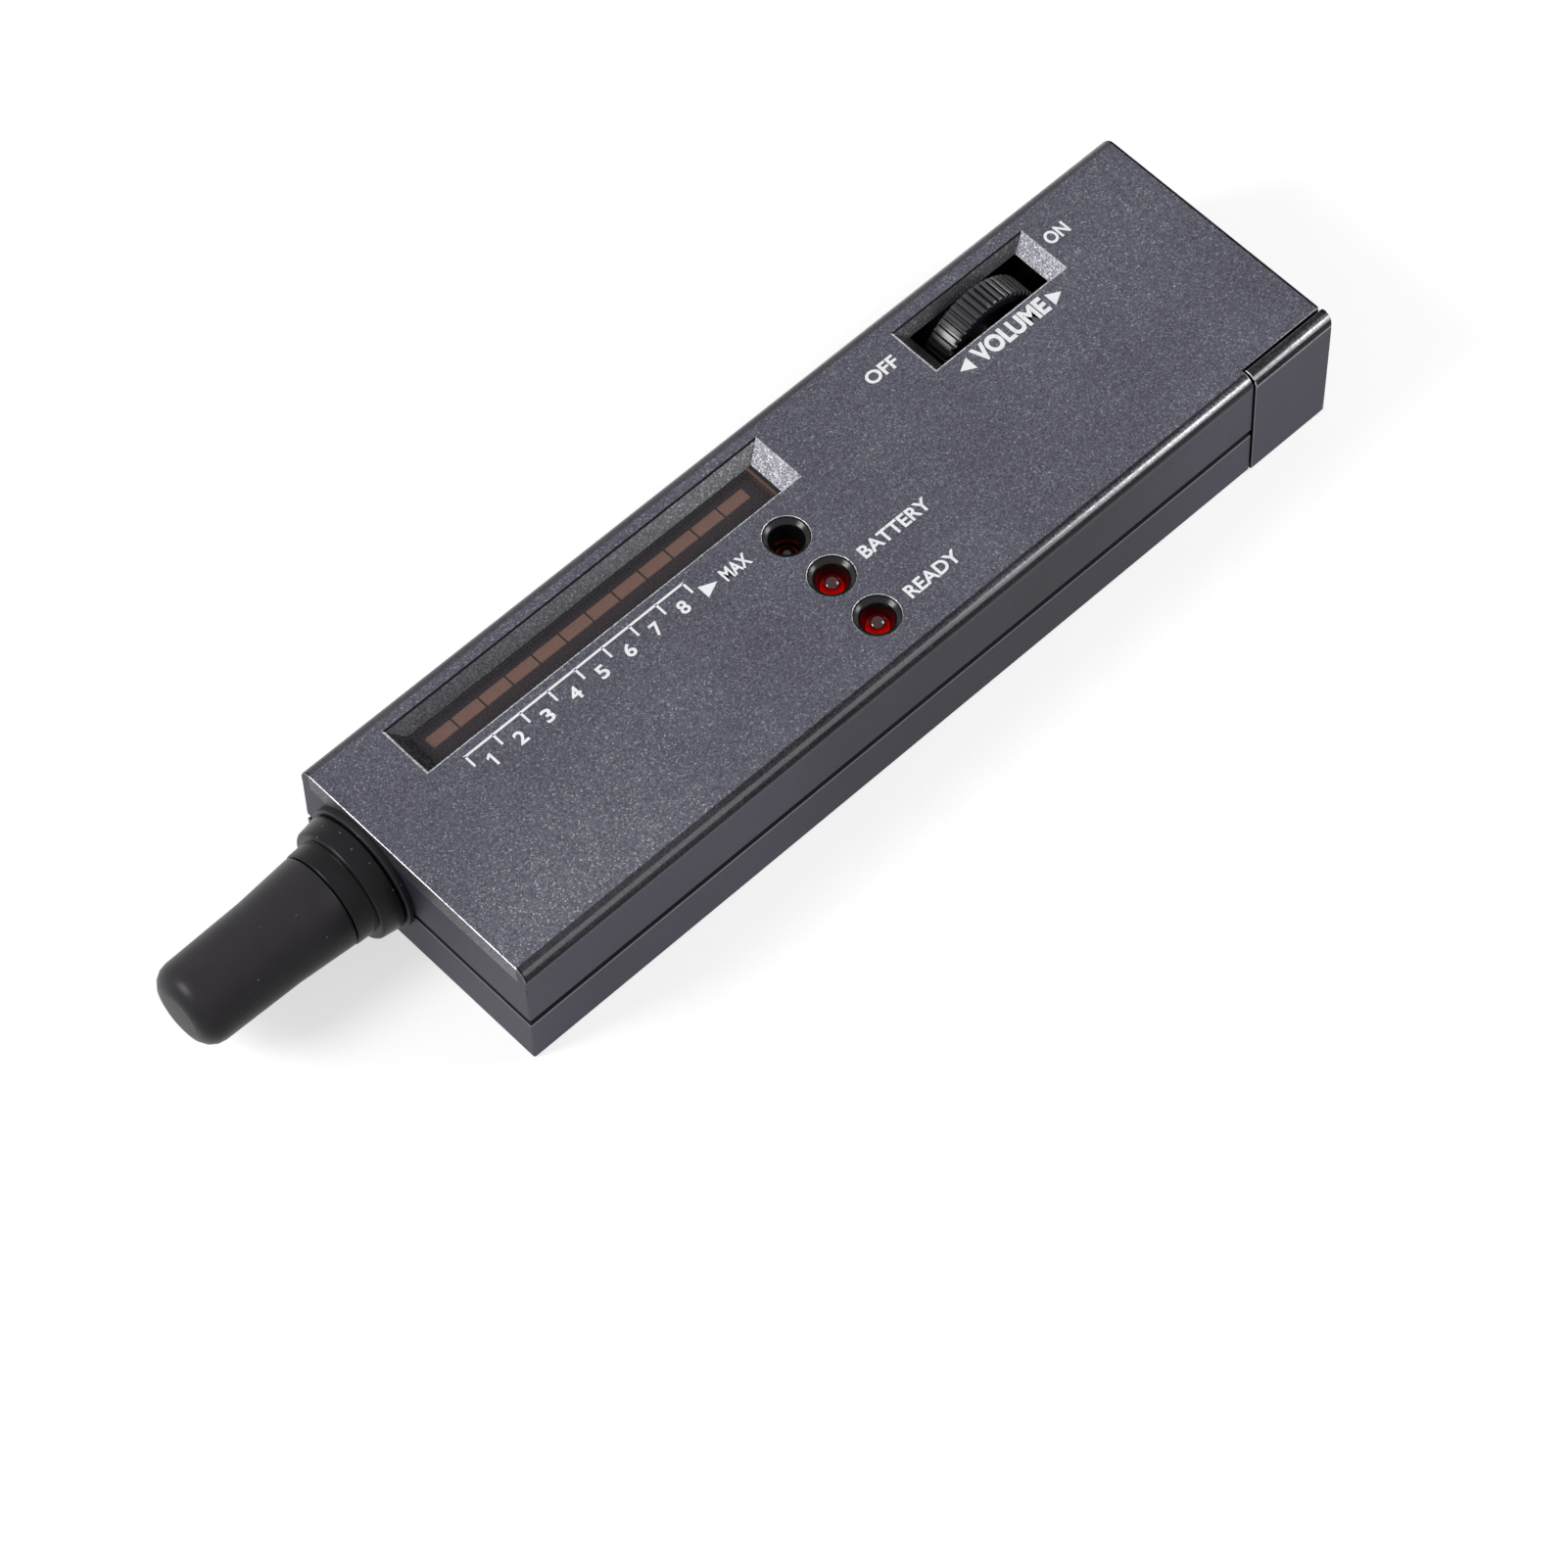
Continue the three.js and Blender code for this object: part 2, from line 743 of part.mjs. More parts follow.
function batteryCover() {
  const start = coverStart + fit.seam / 2;
  const along = [start - cut, coverEnd + cut];
  const outside = half + cover.proud;
  const plan = roundedOutline([start - cover.length, coverEnd], [-outside, outside], cover.corner);
  const cheekInside = half - cover.cheek;
  let shell = drawnAlongX(housingSection(cover.proud), [start, coverEnd]);
  shell = shell.intersect(drawnUp(plan, [0, height]));
  shell = shell.subtract(
    block([start - cut, coverInside], [-cheekInside, cheekInside], [housing.floor, ceiling]),
  );
  const plateRoom = [housing.draft + cover.lip - fit.seam - half, outside + cut];
  shell = shell.subtract(block(along, plateRoom, [ceiling - fit.touch, height + cut]));
  const edgeRoom = [cheekInside - fit.touch, outside + cut];
  const edgeFoot = height - housing.topEdge - fit.touch;
  shell = shell.subtract(block(along, edgeRoom, [edgeFoot, height + cut]));
  const gripMiddle = (start + coverEnd) / 2;
  for (let i = 0; i < cover.grooves; i += 1) {
    const middle = gripMiddle + (i - (cover.grooves - 1) / 2) * cover.groovePitch;
    shell = shell.subtract(
      block(
        widened([middle, middle], cover.groove / 2),
        [cover.grooveMargin - half, half - cover.grooveMargin],
        [-cut, cover.grooveDepth],
      ),
    );
  }
  return shell;
}

function addHousing(parent) {
  piece("top_shell", topShell(), finish.shell, parent);
  piece("bottom_shell", bottomShell(), finish.shell, parent);
  piece("battery_cover", batteryCover(), finish.shell, parent);
  const foam = block(
    [coverInside - cover.pad, coverInside],
    widened([batteryLine, batteryLine], battery.width / 2 - cover.padMargin),
    [housing.floor + cover.padMargin, ceiling - cover.padMargin],
  );
  piece("battery_pad", foam, finish.foam, parent);
}

// A cross-headed screw, its head below and its point up
function crossScrew(shankLength) {
  const { head, headThickness, crownShare, crownDepthShare, shank, slot, slotDepth } = screw;
  const body = turnedUpright([
    [0, 0],
    [head * crownShare, 0],
    [head, headThickness * crownDepthShare],
    [head, headThickness],
    [shank, headThickness],
    [shank, headThickness + shankLength - shank],
    [0, headThickness + shankLength],
  ], facets.small);
  const arm = widened([0, 0], head / 2);
  const narrow = widened([0, 0], slot / 2);
  const depth = [-cut, slotDepth];
  return body.subtract(block(arm, narrow, depth)).subtract(block(narrow, arm, depth));
}

function addHousingScrews(parent) {
  const start = boss.pocket - screw.headThickness;
  const shankLength = topShellFoot + boss.depth - fit.seat - boss.pocket;
  const solid = crossScrew(shankLength);
  bossPlaces.forEach(([x, y], i) => {
    piece(`housing_screw_${i + 1}`, solid, finish.steel, parent).position.set(x, y, start - fit.touch);
  });
}

// Display

function addDisplay(parent) {
  const windowTop = height - recess.depth;
  const pane = block(
    widened(displayOpening.x, display.ledge),
    widened(displayOpening.y, display.ledge),
    [windowTop - display.window, windowTop],
  );
  piece("display_window", pane, finish.window, parent);

  const size = [bars.pitch - bars.gap, bars.width];
  const firstBar = openingStart + display.frontMargin;
  const barLine = wheelLine + bars.aside;
  const slots = [];
  for (let i = 0; i < bars.count; i += 1) {
    const x = [firstBar + i * bars.pitch, firstBar + i * bars.pitch + size[0]];
    const y = widened([barLine, barLine], size[1] / 2);
    const name = `bar_led_${String(i + 1).padStart(2, "0")}`;
    piece(name, block(x, y, [boardTop, barTop]), finish.bar, parent);
    slots.push(block(widened(x, bars.play), widened(y, bars.play), widened([boardTop, barTop], cut)));
  }
  const maskMargin = display.ledge - fit.seat;
  const mask = block(
    widened([Math.max(displayOpening.x[0], boardStart), displayOpening.x[1]], 0, maskMargin),
    widened(displayOpening.y, maskMargin),
    [boardTop, barTop - display.maskDrop],
  );
  piece("bar_mask", slots.reduce((whole, slot) => whole.subtract(slot), mask), finish.black, parent);
}

// Signal lamps

function lampCup() {
  const { cupEdge, cupDepth, flangeThickness, sleeveLength } = lamps;
  const flangeTop = ceiling - fit.touch;
  const top = height - fit.touch / 2;
  const cupFoot = height - cupDepth;
  const outside = lampRim - fit.touch;
  const flange = lampRim + lamps.flange;
  const throat = lamps.radius + lamps.play;
  const sleeve = throat + lamps.sleeveWall;
  return turnedUpright([
    [throat, cupFoot],
    [outside - cupEdge, top],
    [outside, top],
    [outside, flangeTop],
    [flange, flangeTop],
    [flange, flangeTop - flangeThickness],
    [sleeve, flangeTop - flangeThickness],
    [sleeve, cupFoot - sleeveLength],
    [throat, cupFoot - sleeveLength],
    [throat, cupFoot],
  ]);
}

function lampBody(top) {
  const { radius, bodyLength, base, baseThickness, leg, legSpread } = lamps;
  const foot = top - bodyLength;
  const centre = top - radius;
  const dome = [];
  const steps = facets.arc;
  for (let i = 0; i <= steps; i += 1) {
    const turn = (i / steps) * (Math.PI / 2);
    dome.push([i === steps ? 0 : radius * Math.cos(turn), centre + radius * Math.sin(turn)]);
  }
  const bulb = turnedUpright([
    [0, foot - baseThickness],
    [base, foot - baseThickness],
    [base, foot],
    [radius, foot],
    ...dome,
  ], facets.plain);
  const legs = [-1, 1].map((side) => {
    const middle = (side * legSpread) / 2;
    return block(
      widened([0, 0], leg / 2),
      widened([middle, middle], leg / 2),
      [boardTop, foot - baseThickness / 2],
    );
  });
  return joined([bulb, ...legs]);
}

function addLamps(parent) {
  const cup = lampCup();
  const domeTop = height - lamps.depth;
  for (let i = 0; i < lamps.count; i += 1) {
    const [x, y] = lampPlace(i);
    const dark = i === 0;
    const place = group(parent, x, y, 0);
    piece(`lamp_cup_${i + 1}`, cup, finish.black, place);
    const bulb = lampBody(dark ? domeTop - lamps.darkDrop : domeTop);
    piece(`signal_lamp_${i + 1}`, bulb, dark ? finish.amber : finish.red, place);
  }
}

// Circuit board and what stands on it

function boardOutline() {
  const edge = inner - board.wallGap;
  const narrowStart = partitionFace + fit.seat;
  const narrowEnd = wheelPlace - wheelRadius - board.wheelGap;
  const shape = new THREE.Shape();
  shape.moveTo(boardStart, -edge);
  shape.lineTo(boardEnd, -edge);
  shape.lineTo(boardEnd, narrowStart);
  shape.lineTo(narrowEnd, narrowStart);
  shape.lineTo(narrowEnd, edge);
  shape.lineTo(boardStart, edge);
  shape.closePath();
  for (const name of ["board_screw_1", "board_screw_2"]) {
    const [x, y] = boardPlace(name);
    const hole = new THREE.Path();
    hole.absarc(x, y, boss.hole, 0, 2 * Math.PI);
    shape.holes.push(hole);
  }
  return shape;
}

// A dual-row chip with its pins, about its own middle, standing on the board
function chip(pins) {
  const { chipWidth, chipHeight, chipLift, chipEnd, pin, pinPitch, pinSplay } = boardParts;
  const row = (pins - 1) * pinPitch;
  const body = block(
    widened([0, row], chipEnd),
    widened([0, 0], chipWidth / 2),
    [chipLift, chipLift + chipHeight],
  );
  const legs = [];
  for (let i = 0; i < pins; i += 1) {
    const along = widened([i * pinPitch, i * pinPitch], pin / 2);
    const [near, far] = [chipWidth / 2 - fit.touch, chipWidth / 2 + pinSplay];
    legs.push(block(along, [near, far], [0, chipLift + chipHeight / 2]));
    legs.push(block(along, [-far, -near], [0, chipLift + chipHeight / 2]));
  }
  return joined([body, ...legs]);
}

function capacitor(radius) {
  const { capacitorHeight, capacitorGroove, capacitorEdge } = boardParts;
  const waist = radius - capacitorGroove;
  return turnedUpright([
    [0, 0],
    [radius, 0],
    [radius, 2 * capacitorEdge],
    [waist, 3 * capacitorEdge],
    [radius, 4 * capacitorEdge],
    [radius, capacitorHeight - capacitorEdge],
    [radius - capacitorEdge, capacitorHeight],
    [0, capacitorHeight],
  ], facets.plain);
}

function buzzer() {
  const { buzzerRadius, buzzerHeight, buzzerHole, capacitorEdge } = boardParts;
  return turnedUpright([
    [0, 0],
    [buzzerRadius, 0],
    [buzzerRadius, buzzerHeight - capacitorEdge],
    [buzzerRadius - capacitorEdge, buzzerHeight],
    [buzzerHole, buzzerHeight],
    [buzzerHole, buzzerHeight - 2 * capacitorEdge],
    [0, buzzerHeight - 2 * capacitorEdge],
  ], facets.plain);
}

function trimmer() {
  const { trimmer: size, trimmerHeight, trimmerScrew, trimmerSlot } = boardParts;
  const body = block(widened([0, 0], size / 2), widened([0, 0], size / 2), [0, trimmerHeight]);
  const screwTop = trimmerHeight + trimmerSlot;
  const dial = rod("z", trimmerScrew, [trimmerHeight - trimmerSlot, screwTop], [0, 0]);
  const slot = block(
    widened([0, 0], trimmerScrew),
    widened([0, 0], trimmerSlot / 2),
    [trimmerHeight, screwTop + cut],
  );
  return body.add(dial).subtract(slot);
}

// An axial resistor that lies along Y above the board, on two bent legs
function resistor() {
  const { resistorLength, resistorRadius, resistorWaist, resistorLeg, resistorSpan } = boardParts;
  const end = resistorLength / 2;
  const swell = resistorLength / 5;
  const axis = resistorRadius + fit.seat;
  const profile = [[0, -end], [resistorWaist, -end], [resistorRadius, swell - end]];
  profile.push([resistorRadius, 0], [resistorWaist, swell / 2], [resistorRadius, swell]);
  profile.push([resistorRadius, end - swell / 2], [resistorWaist, end], [0, end]);
  const body = turned(profile, facets.small).translate(0, 0, axis);
  const far = resistorSpan / 2;
  const wireWidth = widened([0, 0], resistorLeg);
  const wireThrough = block(wireWidth, [-far, far], widened([axis, axis], resistorLeg));
  const legs = [-far, far].map((place) =>
    block(wireWidth, widened([place, place], resistorLeg), [0, axis + resistorLeg]),
  );
  return joined([body, wireThrough, ...legs]);
}

function addBoard(parent) {
  piece("circuit_board", drawnUp(boardOutline(), [boardFoot, boardTop]), finish.board, parent);
  const stand = (name, solid, look, shift = 0) => {
    const [x, y] = boardPlace(name);
    piece(name, solid, look, parent).position.set(x - shift, y, boardTop);
  };
  const { driverPins, amplifierPins, pinPitch } = boardParts;
  stand("driver_chip", chip(driverPins), finish.chip, ((driverPins - 1) * pinPitch) / 2);
  stand("amplifier_chip", chip(amplifierPins), finish.chip, ((amplifierPins - 1) * pinPitch) / 2);
  stand("trimmer", trimmer(), finish.blue);
  stand("buzzer", buzzer(), finish.chip);
  stand("capacitor_1", capacitor(boardParts.capacitorRadius), finish.sleeve);
  stand("capacitor_2", capacitor(boardParts.smallCapacitorRadius), finish.sleeve);
  stand("resistor_1", resistor(), finish.tan);
  stand("resistor_2", resistor(), finish.tan);

  const solid = crossScrew(screw.boardLength + board.thickness - fit.seat);
  for (const name of ["board_screw_1", "board_screw_2"]) {
    const [x, y] = boardPlace(name);
    const mesh = piece(name, solid, finish.steel, parent);
    mesh.rotation.x = Math.PI;
    mesh.position.set(x, y, boardTop + screw.headThickness);
  }
}

// Thumbwheel and the control behind it. Their frame has the wheel's axle along its own
// Z, which points to the near side.

function ribbedOutline() {
  const shape = new THREE.Shape();
  const pitch = (2 * Math.PI) / wheel.ribs;
  const root = wheelRadius - wheel.ribDepth;
  const corners = [
    [root, -wheel.ribRootShare / 2],
    [wheelRadius, -wheel.ribShare / 2],
    [wheelRadius, wheel.ribShare / 2],
    [root, wheel.ribRootShare / 2],
  ];
  for (let i = 0; i < wheel.ribs; i += 1) {
    for (const [radius, share] of corners) {
      const turn = (i + share) * pitch;
      const [u, v] = [radius * Math.cos(turn), radius * Math.sin(turn)];
      if (i === 0 && share === corners[0][1]) shape.moveTo(u, v);
      else shape.lineTo(u, v);
    }
  }
  shape.closePath();
  return shape;
}

function thumbWheel() {
  const reach = wheel.thickness / 2;
  const blank = turnedUpright([
    [0, -reach],
    [wheelRadius - wheel.rim, -reach],
    [wheelRadius + fit.touch, -reach + wheel.rim + fit.touch],
    [wheelRadius + fit.touch, reach - wheel.rim - fit.touch],
    [wheelRadius - wheel.rim, reach],
    [0, reach],
  ], wheel.ribs);
  const dish = turnedUpright([
    [wheel.hub, reach - wheel.web],
    [wheelRadius - wheel.rimWall, reach - wheel.web],
    [wheelRadius - wheel.rimWall, reach + cut],
    [wheel.hub, reach + cut],
    [wheel.hub, reach - wheel.web],
  ]);
  const seat = rod("z", screw.head + fit.touch, [reach - screw.headThickness, reach + cut], [0, 0]);
  const bore = rod("z", wheel.shaft + fit.touch, widened([-reach, reach], cut), [0, 0]);
  return drawnUp(ribbedOutline(), [-reach, reach])
    .intersect(blank)
    .subtract(dish)
    .subtract(seat)
    .subtract(bore);
}

function wheelShaft() {
  const reach = wheel.thickness / 2;
  const end = -(reach + control.gap + control.thickness - 2 * fit.seat);
  const start = reach - screw.headThickness - fit.touch;
  const holeFoot = start - wheel.screwLength - fit.seat;
  const outside = rod("z", wheel.shaft, [end, start], [0, 0]);
  return outside.subtract(
    rod("z", wheel.shaft / 2 + wheel.screwPlay, [holeFoot, start + cut], [0, 0]),
  );
}

function wheelScrew() {
  const top = wheel.thickness / 2 - fit.touch;
  const foot = wheel.thickness / 2 - screw.headThickness;
  const shankFoot = foot - wheel.screwLength;
  const { head, slot, slotDepth } = screw;
  const body = turnedUpright([
    [0, shankFoot],
    [wheel.shaft / 2, shankFoot],
    [wheel.shaft / 2, foot],
    [head, foot],
    [head, top],
    [0, top],
  ], facets.plain);
  return body.subtract(
    block(widened([0, 0], head + cut), widened([0, 0], slot / 2), [top - slotDepth, top + cut]),
  );
}

function volumeControl() {
  const face = -(wheel.thickness / 2 + control.gap);
  const radius = height - recess.depth - fit.seat - wheelHeight;
  const body = rod("z", radius, [face - control.thickness, face], [0, 0], facets.round);
  const bore = rod("z", wheel.shaft + fit.touch, [face - control.thickness + fit.seat, face + cut], [0, 0]);
  const tabFoot = boardTop - wheelHeight + fit.touch;
  const tabPitch = (control.thickness - control.tabWidth) / (control.tabs - 1);
  const tabs = [];
  const reach = wheelRadius + board.wheelGap + boss.radius;
  for (let i = 0; i < control.tabs; i += 1) {
    const tabFace = face - i * tabPitch;
    tabs.push(
      block(
        [-reach, -wheel.shaft - 2 * fit.seat],
        [tabFoot, tabFoot + control.tabThickness],
        [tabFace - control.tabWidth, tabFace],
      ),
    );
  }
  return joined([body, ...tabs]).subtract(bore);
}

function addWheel(parent) {
  const place = group(parent, wheelPlace, wheelLine, wheelHeight);
  place.rotation.x = Math.PI / 2;
  piece("thumb_wheel", thumbWheel(), finish.black, place);
  piece("wheel_shaft", wheelShaft(), finish.steel, place);
  piece("wheel_screw", wheelScrew(), finish.steel, place);
  piece("volume_control", volumeControl(), finish.chip, place);
}

// Battery, its snap and its two leads

function addBattery(parent) {
  const middle = housing.floor + fit.touch + battery.thickness / 2;
  const place = group(parent, batteryStart, batteryLine, middle);
  const section = roundedOutline(
    widened([0, 0], battery.width / 2),
    widened([0, 0], battery.thickness / 2),
    battery.corner,
  );
  const stand = battery.spread / 2;
  const overlap = battery.ringWall;
  const body = joined([
    drawnAlongX(section, [0, battery.length]),
    rod("x", battery.stud, [-battery.terminal, overlap], [-stand, 0]),
    rod("x", battery.ring, [-battery.terminal, overlap], [stand, 0]),
  ]);
  const well = rod("x", battery.ring - battery.ringWall, [-battery.terminal - cut, 0], [stand, 0]);
  piece("battery", body.subtract(well), finish.steel, place);

  const padStart = snapStart - batteryStart;
  const padEnd = padStart + snap.pad;
  const pad = drawnAlongX(
    roundedOutline(
      widened([0, 0], battery.width / 2 - snap.inset),
      widened([0, 0], battery.thickness / 2 - snap.heightInset),
      snap.corner,
    ),
    [padStart, padEnd],
  );
  const socketWall = battery.stud + fit.touch;
  const socket = rod("x", socketWall + snap.wall, [padEnd - fit.touch, -fit.seat], [-stand, 0]).subtract(
    rod("x", socketWall, [padEnd, 0], [-stand, 0]),
  );
  const plug = rod(
    "x",
    battery.ring - battery.ringWall - fit.seat,
    [padEnd - fit.touch, -fit.seat],
    [stand, 0],
  );
  piece("battery_snap", joined([pad, socket, plug]), finish.black, place);
}

function curveThrough(points) {
  return new THREE.CatmullRomCurve3(points.map((point) => new THREE.Vector3(...point)));
}

function addBatteryLeads(parent) {
  const radius = lead.battery;
  const windowMiddle = boardTop + fit.seat + bulkhead.windowHeight / 2;
  const rest = boardTop + fit.touch + radius;
  const [along, across] = leadEndShares.battery;
  const edge = inner - board.wallGap;
  const endX = boardStart + along * (boardEnd - boardStart);
  const endY = -edge + across * 2 * edge;
  const side = bulkhead.window / 4;
  for (const [name, sign, look] of [
    ["battery_lead_red", 1, finish.leadRed],
    ["battery_lead_black", -1, finish.leadBlack],
  ]) {
    const startY = batteryLine + sign * side;
    const farY = endY + sign * side;
    const curve = curveThrough([
      [snapStart - fit.touch, startY, windowMiddle],
      [bulkheadFace - bulkhead.thickness, startY, windowMiddle],
      [middleBoss, (startY + farY) / 2, (windowMiddle + rest) / 2 + radius],
      [boardEnd - radius, farY, rest + radius],
      [endX, farY, rest],
    ]);
    piece(name, wire(curve, radius, lead.steps), look, parent);
  }
}

// Nose, probe and cap. Their frame has the nose's axis along its own Y, which points
// out of the housing, with zero at the housing's front face.

const ringRadius = height / 2 - nose.gasketRim - nose.ringInset;

function noseGasket() {
  const outer = height / 2 - nose.gasketRim;
  const innerRadius = nose.neck + nose.hole;
  return turnedRing([
    [innerRadius, 0],
    [outer, 0],
    [outer, nose.gasket],
    [innerRadius, nose.gasket],
  ]);
}

function noseCollar() {
  const ringEnd = nose.ringStart + nose.ring;
  const flangeFace = -(housing.side + fit.touch);
  const flangeRadius = (ceiling - housing.floor) / 2 - nose.flangeGap;
  const front = ringRadius - nose.ringTaper;
  const neckEdge = nose.neckTaper;
  return turnedRing([
    [nose.bore, flangeFace - nose.flange],
    [flangeRadius, flangeFace - nose.flange],
    [flangeRadius, flangeFace],
    [nose.neck, flangeFace],
    [nose.neck, nose.ringStart],
    [ringRadius - nose.ringEdge, nose.ringStart],
    [ringRadius, nose.ringStart + nose.ringEdge],
    [front, ringEnd - nose.ringEdge],
    [front - nose.ringEdge, ringEnd],
    [nose.neck, ringEnd],
    [nose.neck - neckEdge, noseFace - nose.ringEdge],
    [nose.neck - neckEdge - nose.ringEdge, noseFace],
    [nose.bore, noseFace],
  ]);
}

// The cap's outside and inside radius at a distance from its mouth
function capRadius(distance) {
  const { mouth, kink, kinkRadius, endRadius } = cap;
  if (distance < kink) return mouth + ((kinkRadius - mouth) * distance) / kink;
  return kinkRadius + ((endRadius - kinkRadius) * (distance - kink)) / (capLength - kink);
}
const capBore = (distance) => capRadius(distance) - cap.wall;

// A quarter of a turn from the side of a round end to its face
function roundedEnd(radius, end, fillet, crown, steps) {
  const points = [];
  for (let i = 0; i <= steps; i += 1) {
    const turn = (i / steps) * (Math.PI / 2);
    points.push([
      radius - fillet + fillet * Math.cos(turn),
      end - crown - fillet + fillet * Math.sin(turn),
    ]);
  }
  return [...points, [(radius - fillet) / 2, end - crown / 4], [0, end]];
}

function probeCap() {
  const { kink, wall, fillet, crown, mouthEdge } = cap;
  const insideEnd = capLength - wall;
  const insideFillet = fillet - wall / 2;
  const outside = roundedEnd(capRadius(capLength), capLength, fillet, crown, facets.arc);
  const inside = roundedEnd(capBore(capLength), insideEnd, insideFillet, crown, facets.hiddenArc);
  return turned([
    ...inside.reverse(),
    [capBore(kink), kink],
    [capBore(mouthEdge), mouthEdge],
    [capBore(0) + mouthEdge, 0],
    [cap.mouth - mouthEdge, 0],
    [capRadius(mouthEdge), mouthEdge],
    [capRadius(kink), kink],
    ...outside,
  ]);
}

// The spring's chamber in the barrel, from its front wall back to the plug
const chamberFront = barrelMouth - barrel.guide;
const plugFace = probe.plug - barrel.inside;

function probeBarrel() {
  const face = noseFace + fit.touch;
  const shoulderEnd = face + barrel.shoulder;
  const gripRadius = (place) => capBore(Math.max(place - cap.start, 0)) - barrel.grip;
  return turnedRing([
    [barrel.chamber, -barrel.inside],
    [barrel.stem, -barrel.inside],
    [barrel.stem, face],
    [gripRadius(face), face],
    [gripRadius(shoulderEnd), shoulderEnd],
    [gripRadius(shoulderEnd) - barrel.step, shoulderEnd + barrel.step],
    [barrel.tip + barrel.tipEdge, barrelMouth - barrel.tipEdge],
    [barrel.tip, barrelMouth],
    [barrel.bore, barrelMouth],
    [barrel.bore, chamberFront],
    [barrel.chamber, chamberFront],
  ], facets.round);
}

function probeTip() {
  const collarFront = chamberFront - fit.touch;
  return turned([
    [0, collarFront - probe.collarLength],
    [probe.collar, collarFront - probe.collarLength],
    [probe.collar, collarFront],
    [probe.radius, collarFront],
    [probe.radius, probeEnd - probe.pointLength],
    [probe.point, probeEnd],
    [0, probeEnd],
  ], facets.plain);
}

// Behind the tip's collar, where the heater and the spring bear on it
const tipBack = chamberFront - fit.touch - probe.collarLength;

function probeHeater() {
  const end = tipBack - probe.heaterLength;
  const bead = turned([
    [0, end],
    [probe.heater, end],
    [probe.heater, tipBack],
    [0, tipBack],
  ], facets.plain);
  const legs = [-1, 1].map((side) =>
    rod(
      "y",
      probe.leg,
      [-barrel.inside - probe.legPast, end + probe.leg],
      [(side * probe.legSpread) / 2, 0],
      facets.wire,
    ),
  );
  return joined([bead, ...legs]);
}

class Coil extends THREE.Curve {
  constructor(radius, from, to, turns) {
    super();
    Object.assign(this, { radius, from, to, turns });
  }

  getPoint(share, target = new THREE.Vector3()) {
    const turn = 2 * Math.PI * this.turns * share;
    return target.set(
      this.radius * Math.cos(turn),
      this.from + (this.to - this.from) * share,
      this.radius * Math.sin(turn),
    );
  }
}

function probeSpring() {
  const { turns, wire: radius, mean, steps, sides } = spring;
  const from = plugFace + fit.touch + radius;
  const to = tipBack - fit.touch - radius;
  const coil = new Coil(mean, from, to, turns);
  return wire(coil, radius, turns * steps, sides);
}

function probePlug() {
  return turnedRing([
    [probe.plugBore, -barrel.inside],
    [barrel.chamber - fit.touch, -barrel.inside],
    [barrel.chamber - fit.touch, plugFace],
    [probe.plugBore, plugFace],
  ], facets.plain);
}

function addNose(parent) {
  const place = group(parent, 0, noseLine, noseHeight);
  place.rotation.z = Math.PI / 2;
  piece("nose_gasket", noseGasket(), finish.rubber, place);
  piece("nose_collar", noseCollar(), finish.black, place);
  piece("probe_barrel", probeBarrel(), finish.black, place);
  piece("probe_tip", probeTip(), finish.copper, place);
  piece("probe_heater", probeHeater(), finish.ceramic, place);
  piece("probe_spring", probeSpring(), finish.steel, place);
  piece("probe_plug", probePlug(), finish.tan, place);
  piece("probe_cap", probeCap(), finish.rubber, place).position.y = cap.start;
}

// Two leads from beside the heater's legs to the front of the board
function addProbeLeads(parent) {
  const radius = lead.probe;
  const start = barrel.inside + fit.seat + radius;
  const side = noseLine - probe.legSpread / 2 - probe.leg - lead.beside - radius;
  const rest = boardTop + fit.touch + radius;
  const [along, across] = leadEndShares.probe;
  const edge = inner - board.wallGap;
  const endX = boardStart + along * (boardEnd - boardStart);
  const endY = -edge + across * 2 * edge;
  [1, -1].forEach((sign, i) => {
    const farY = endY + sign * 3 * radius;
    const curve = curveThrough([
      [start, side, noseHeight + sign * 2 * radius],
      [(start + boardStart) / 2, (side + farY) / 2 + sign * radius, rest + sign * radius],
      [boardStart, farY, rest + 2 * radius],
      [endX, farY, rest],
    ]);
    piece(`probe_lead_${i + 1}`, wire(curve, radius, lead.steps), finish.leadWhite, parent);
  });
}

// The whole tester stands on its lower shell, about the middle of its own length
const tester = new THREE.Group();
const assembly = group(tester, (cap.start + capLength - coverEnd) / 2, 0, 0);
addHousing(assembly);
addHousingScrews(assembly);
addDisplay(assembly);
addLamps(assembly);
addBoard(assembly);
addWheel(assembly);
addBattery(assembly);
addBatteryLeads(assembly);
addNose(assembly);
addProbeLeads(assembly);

export default tester;
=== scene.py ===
# %% [markdown]
# A hand-held gem tester is a moulded box with a copper probe under a cap, a row of bar
# lamps behind a smoked window, three signal lamps and a ribbed thumbwheel.
# Its construction is already fixed and packed. This notebook gives every surface its
# look: soft edges, smooth turned parts, printed marks and a finish for each material.
# The imported model is loaded first, because every piece below is placed by it, and its
# box is kept.

# %% Load the imported model
import json
import math

import bmesh
import bpy
from mathutils import Matrix, Vector


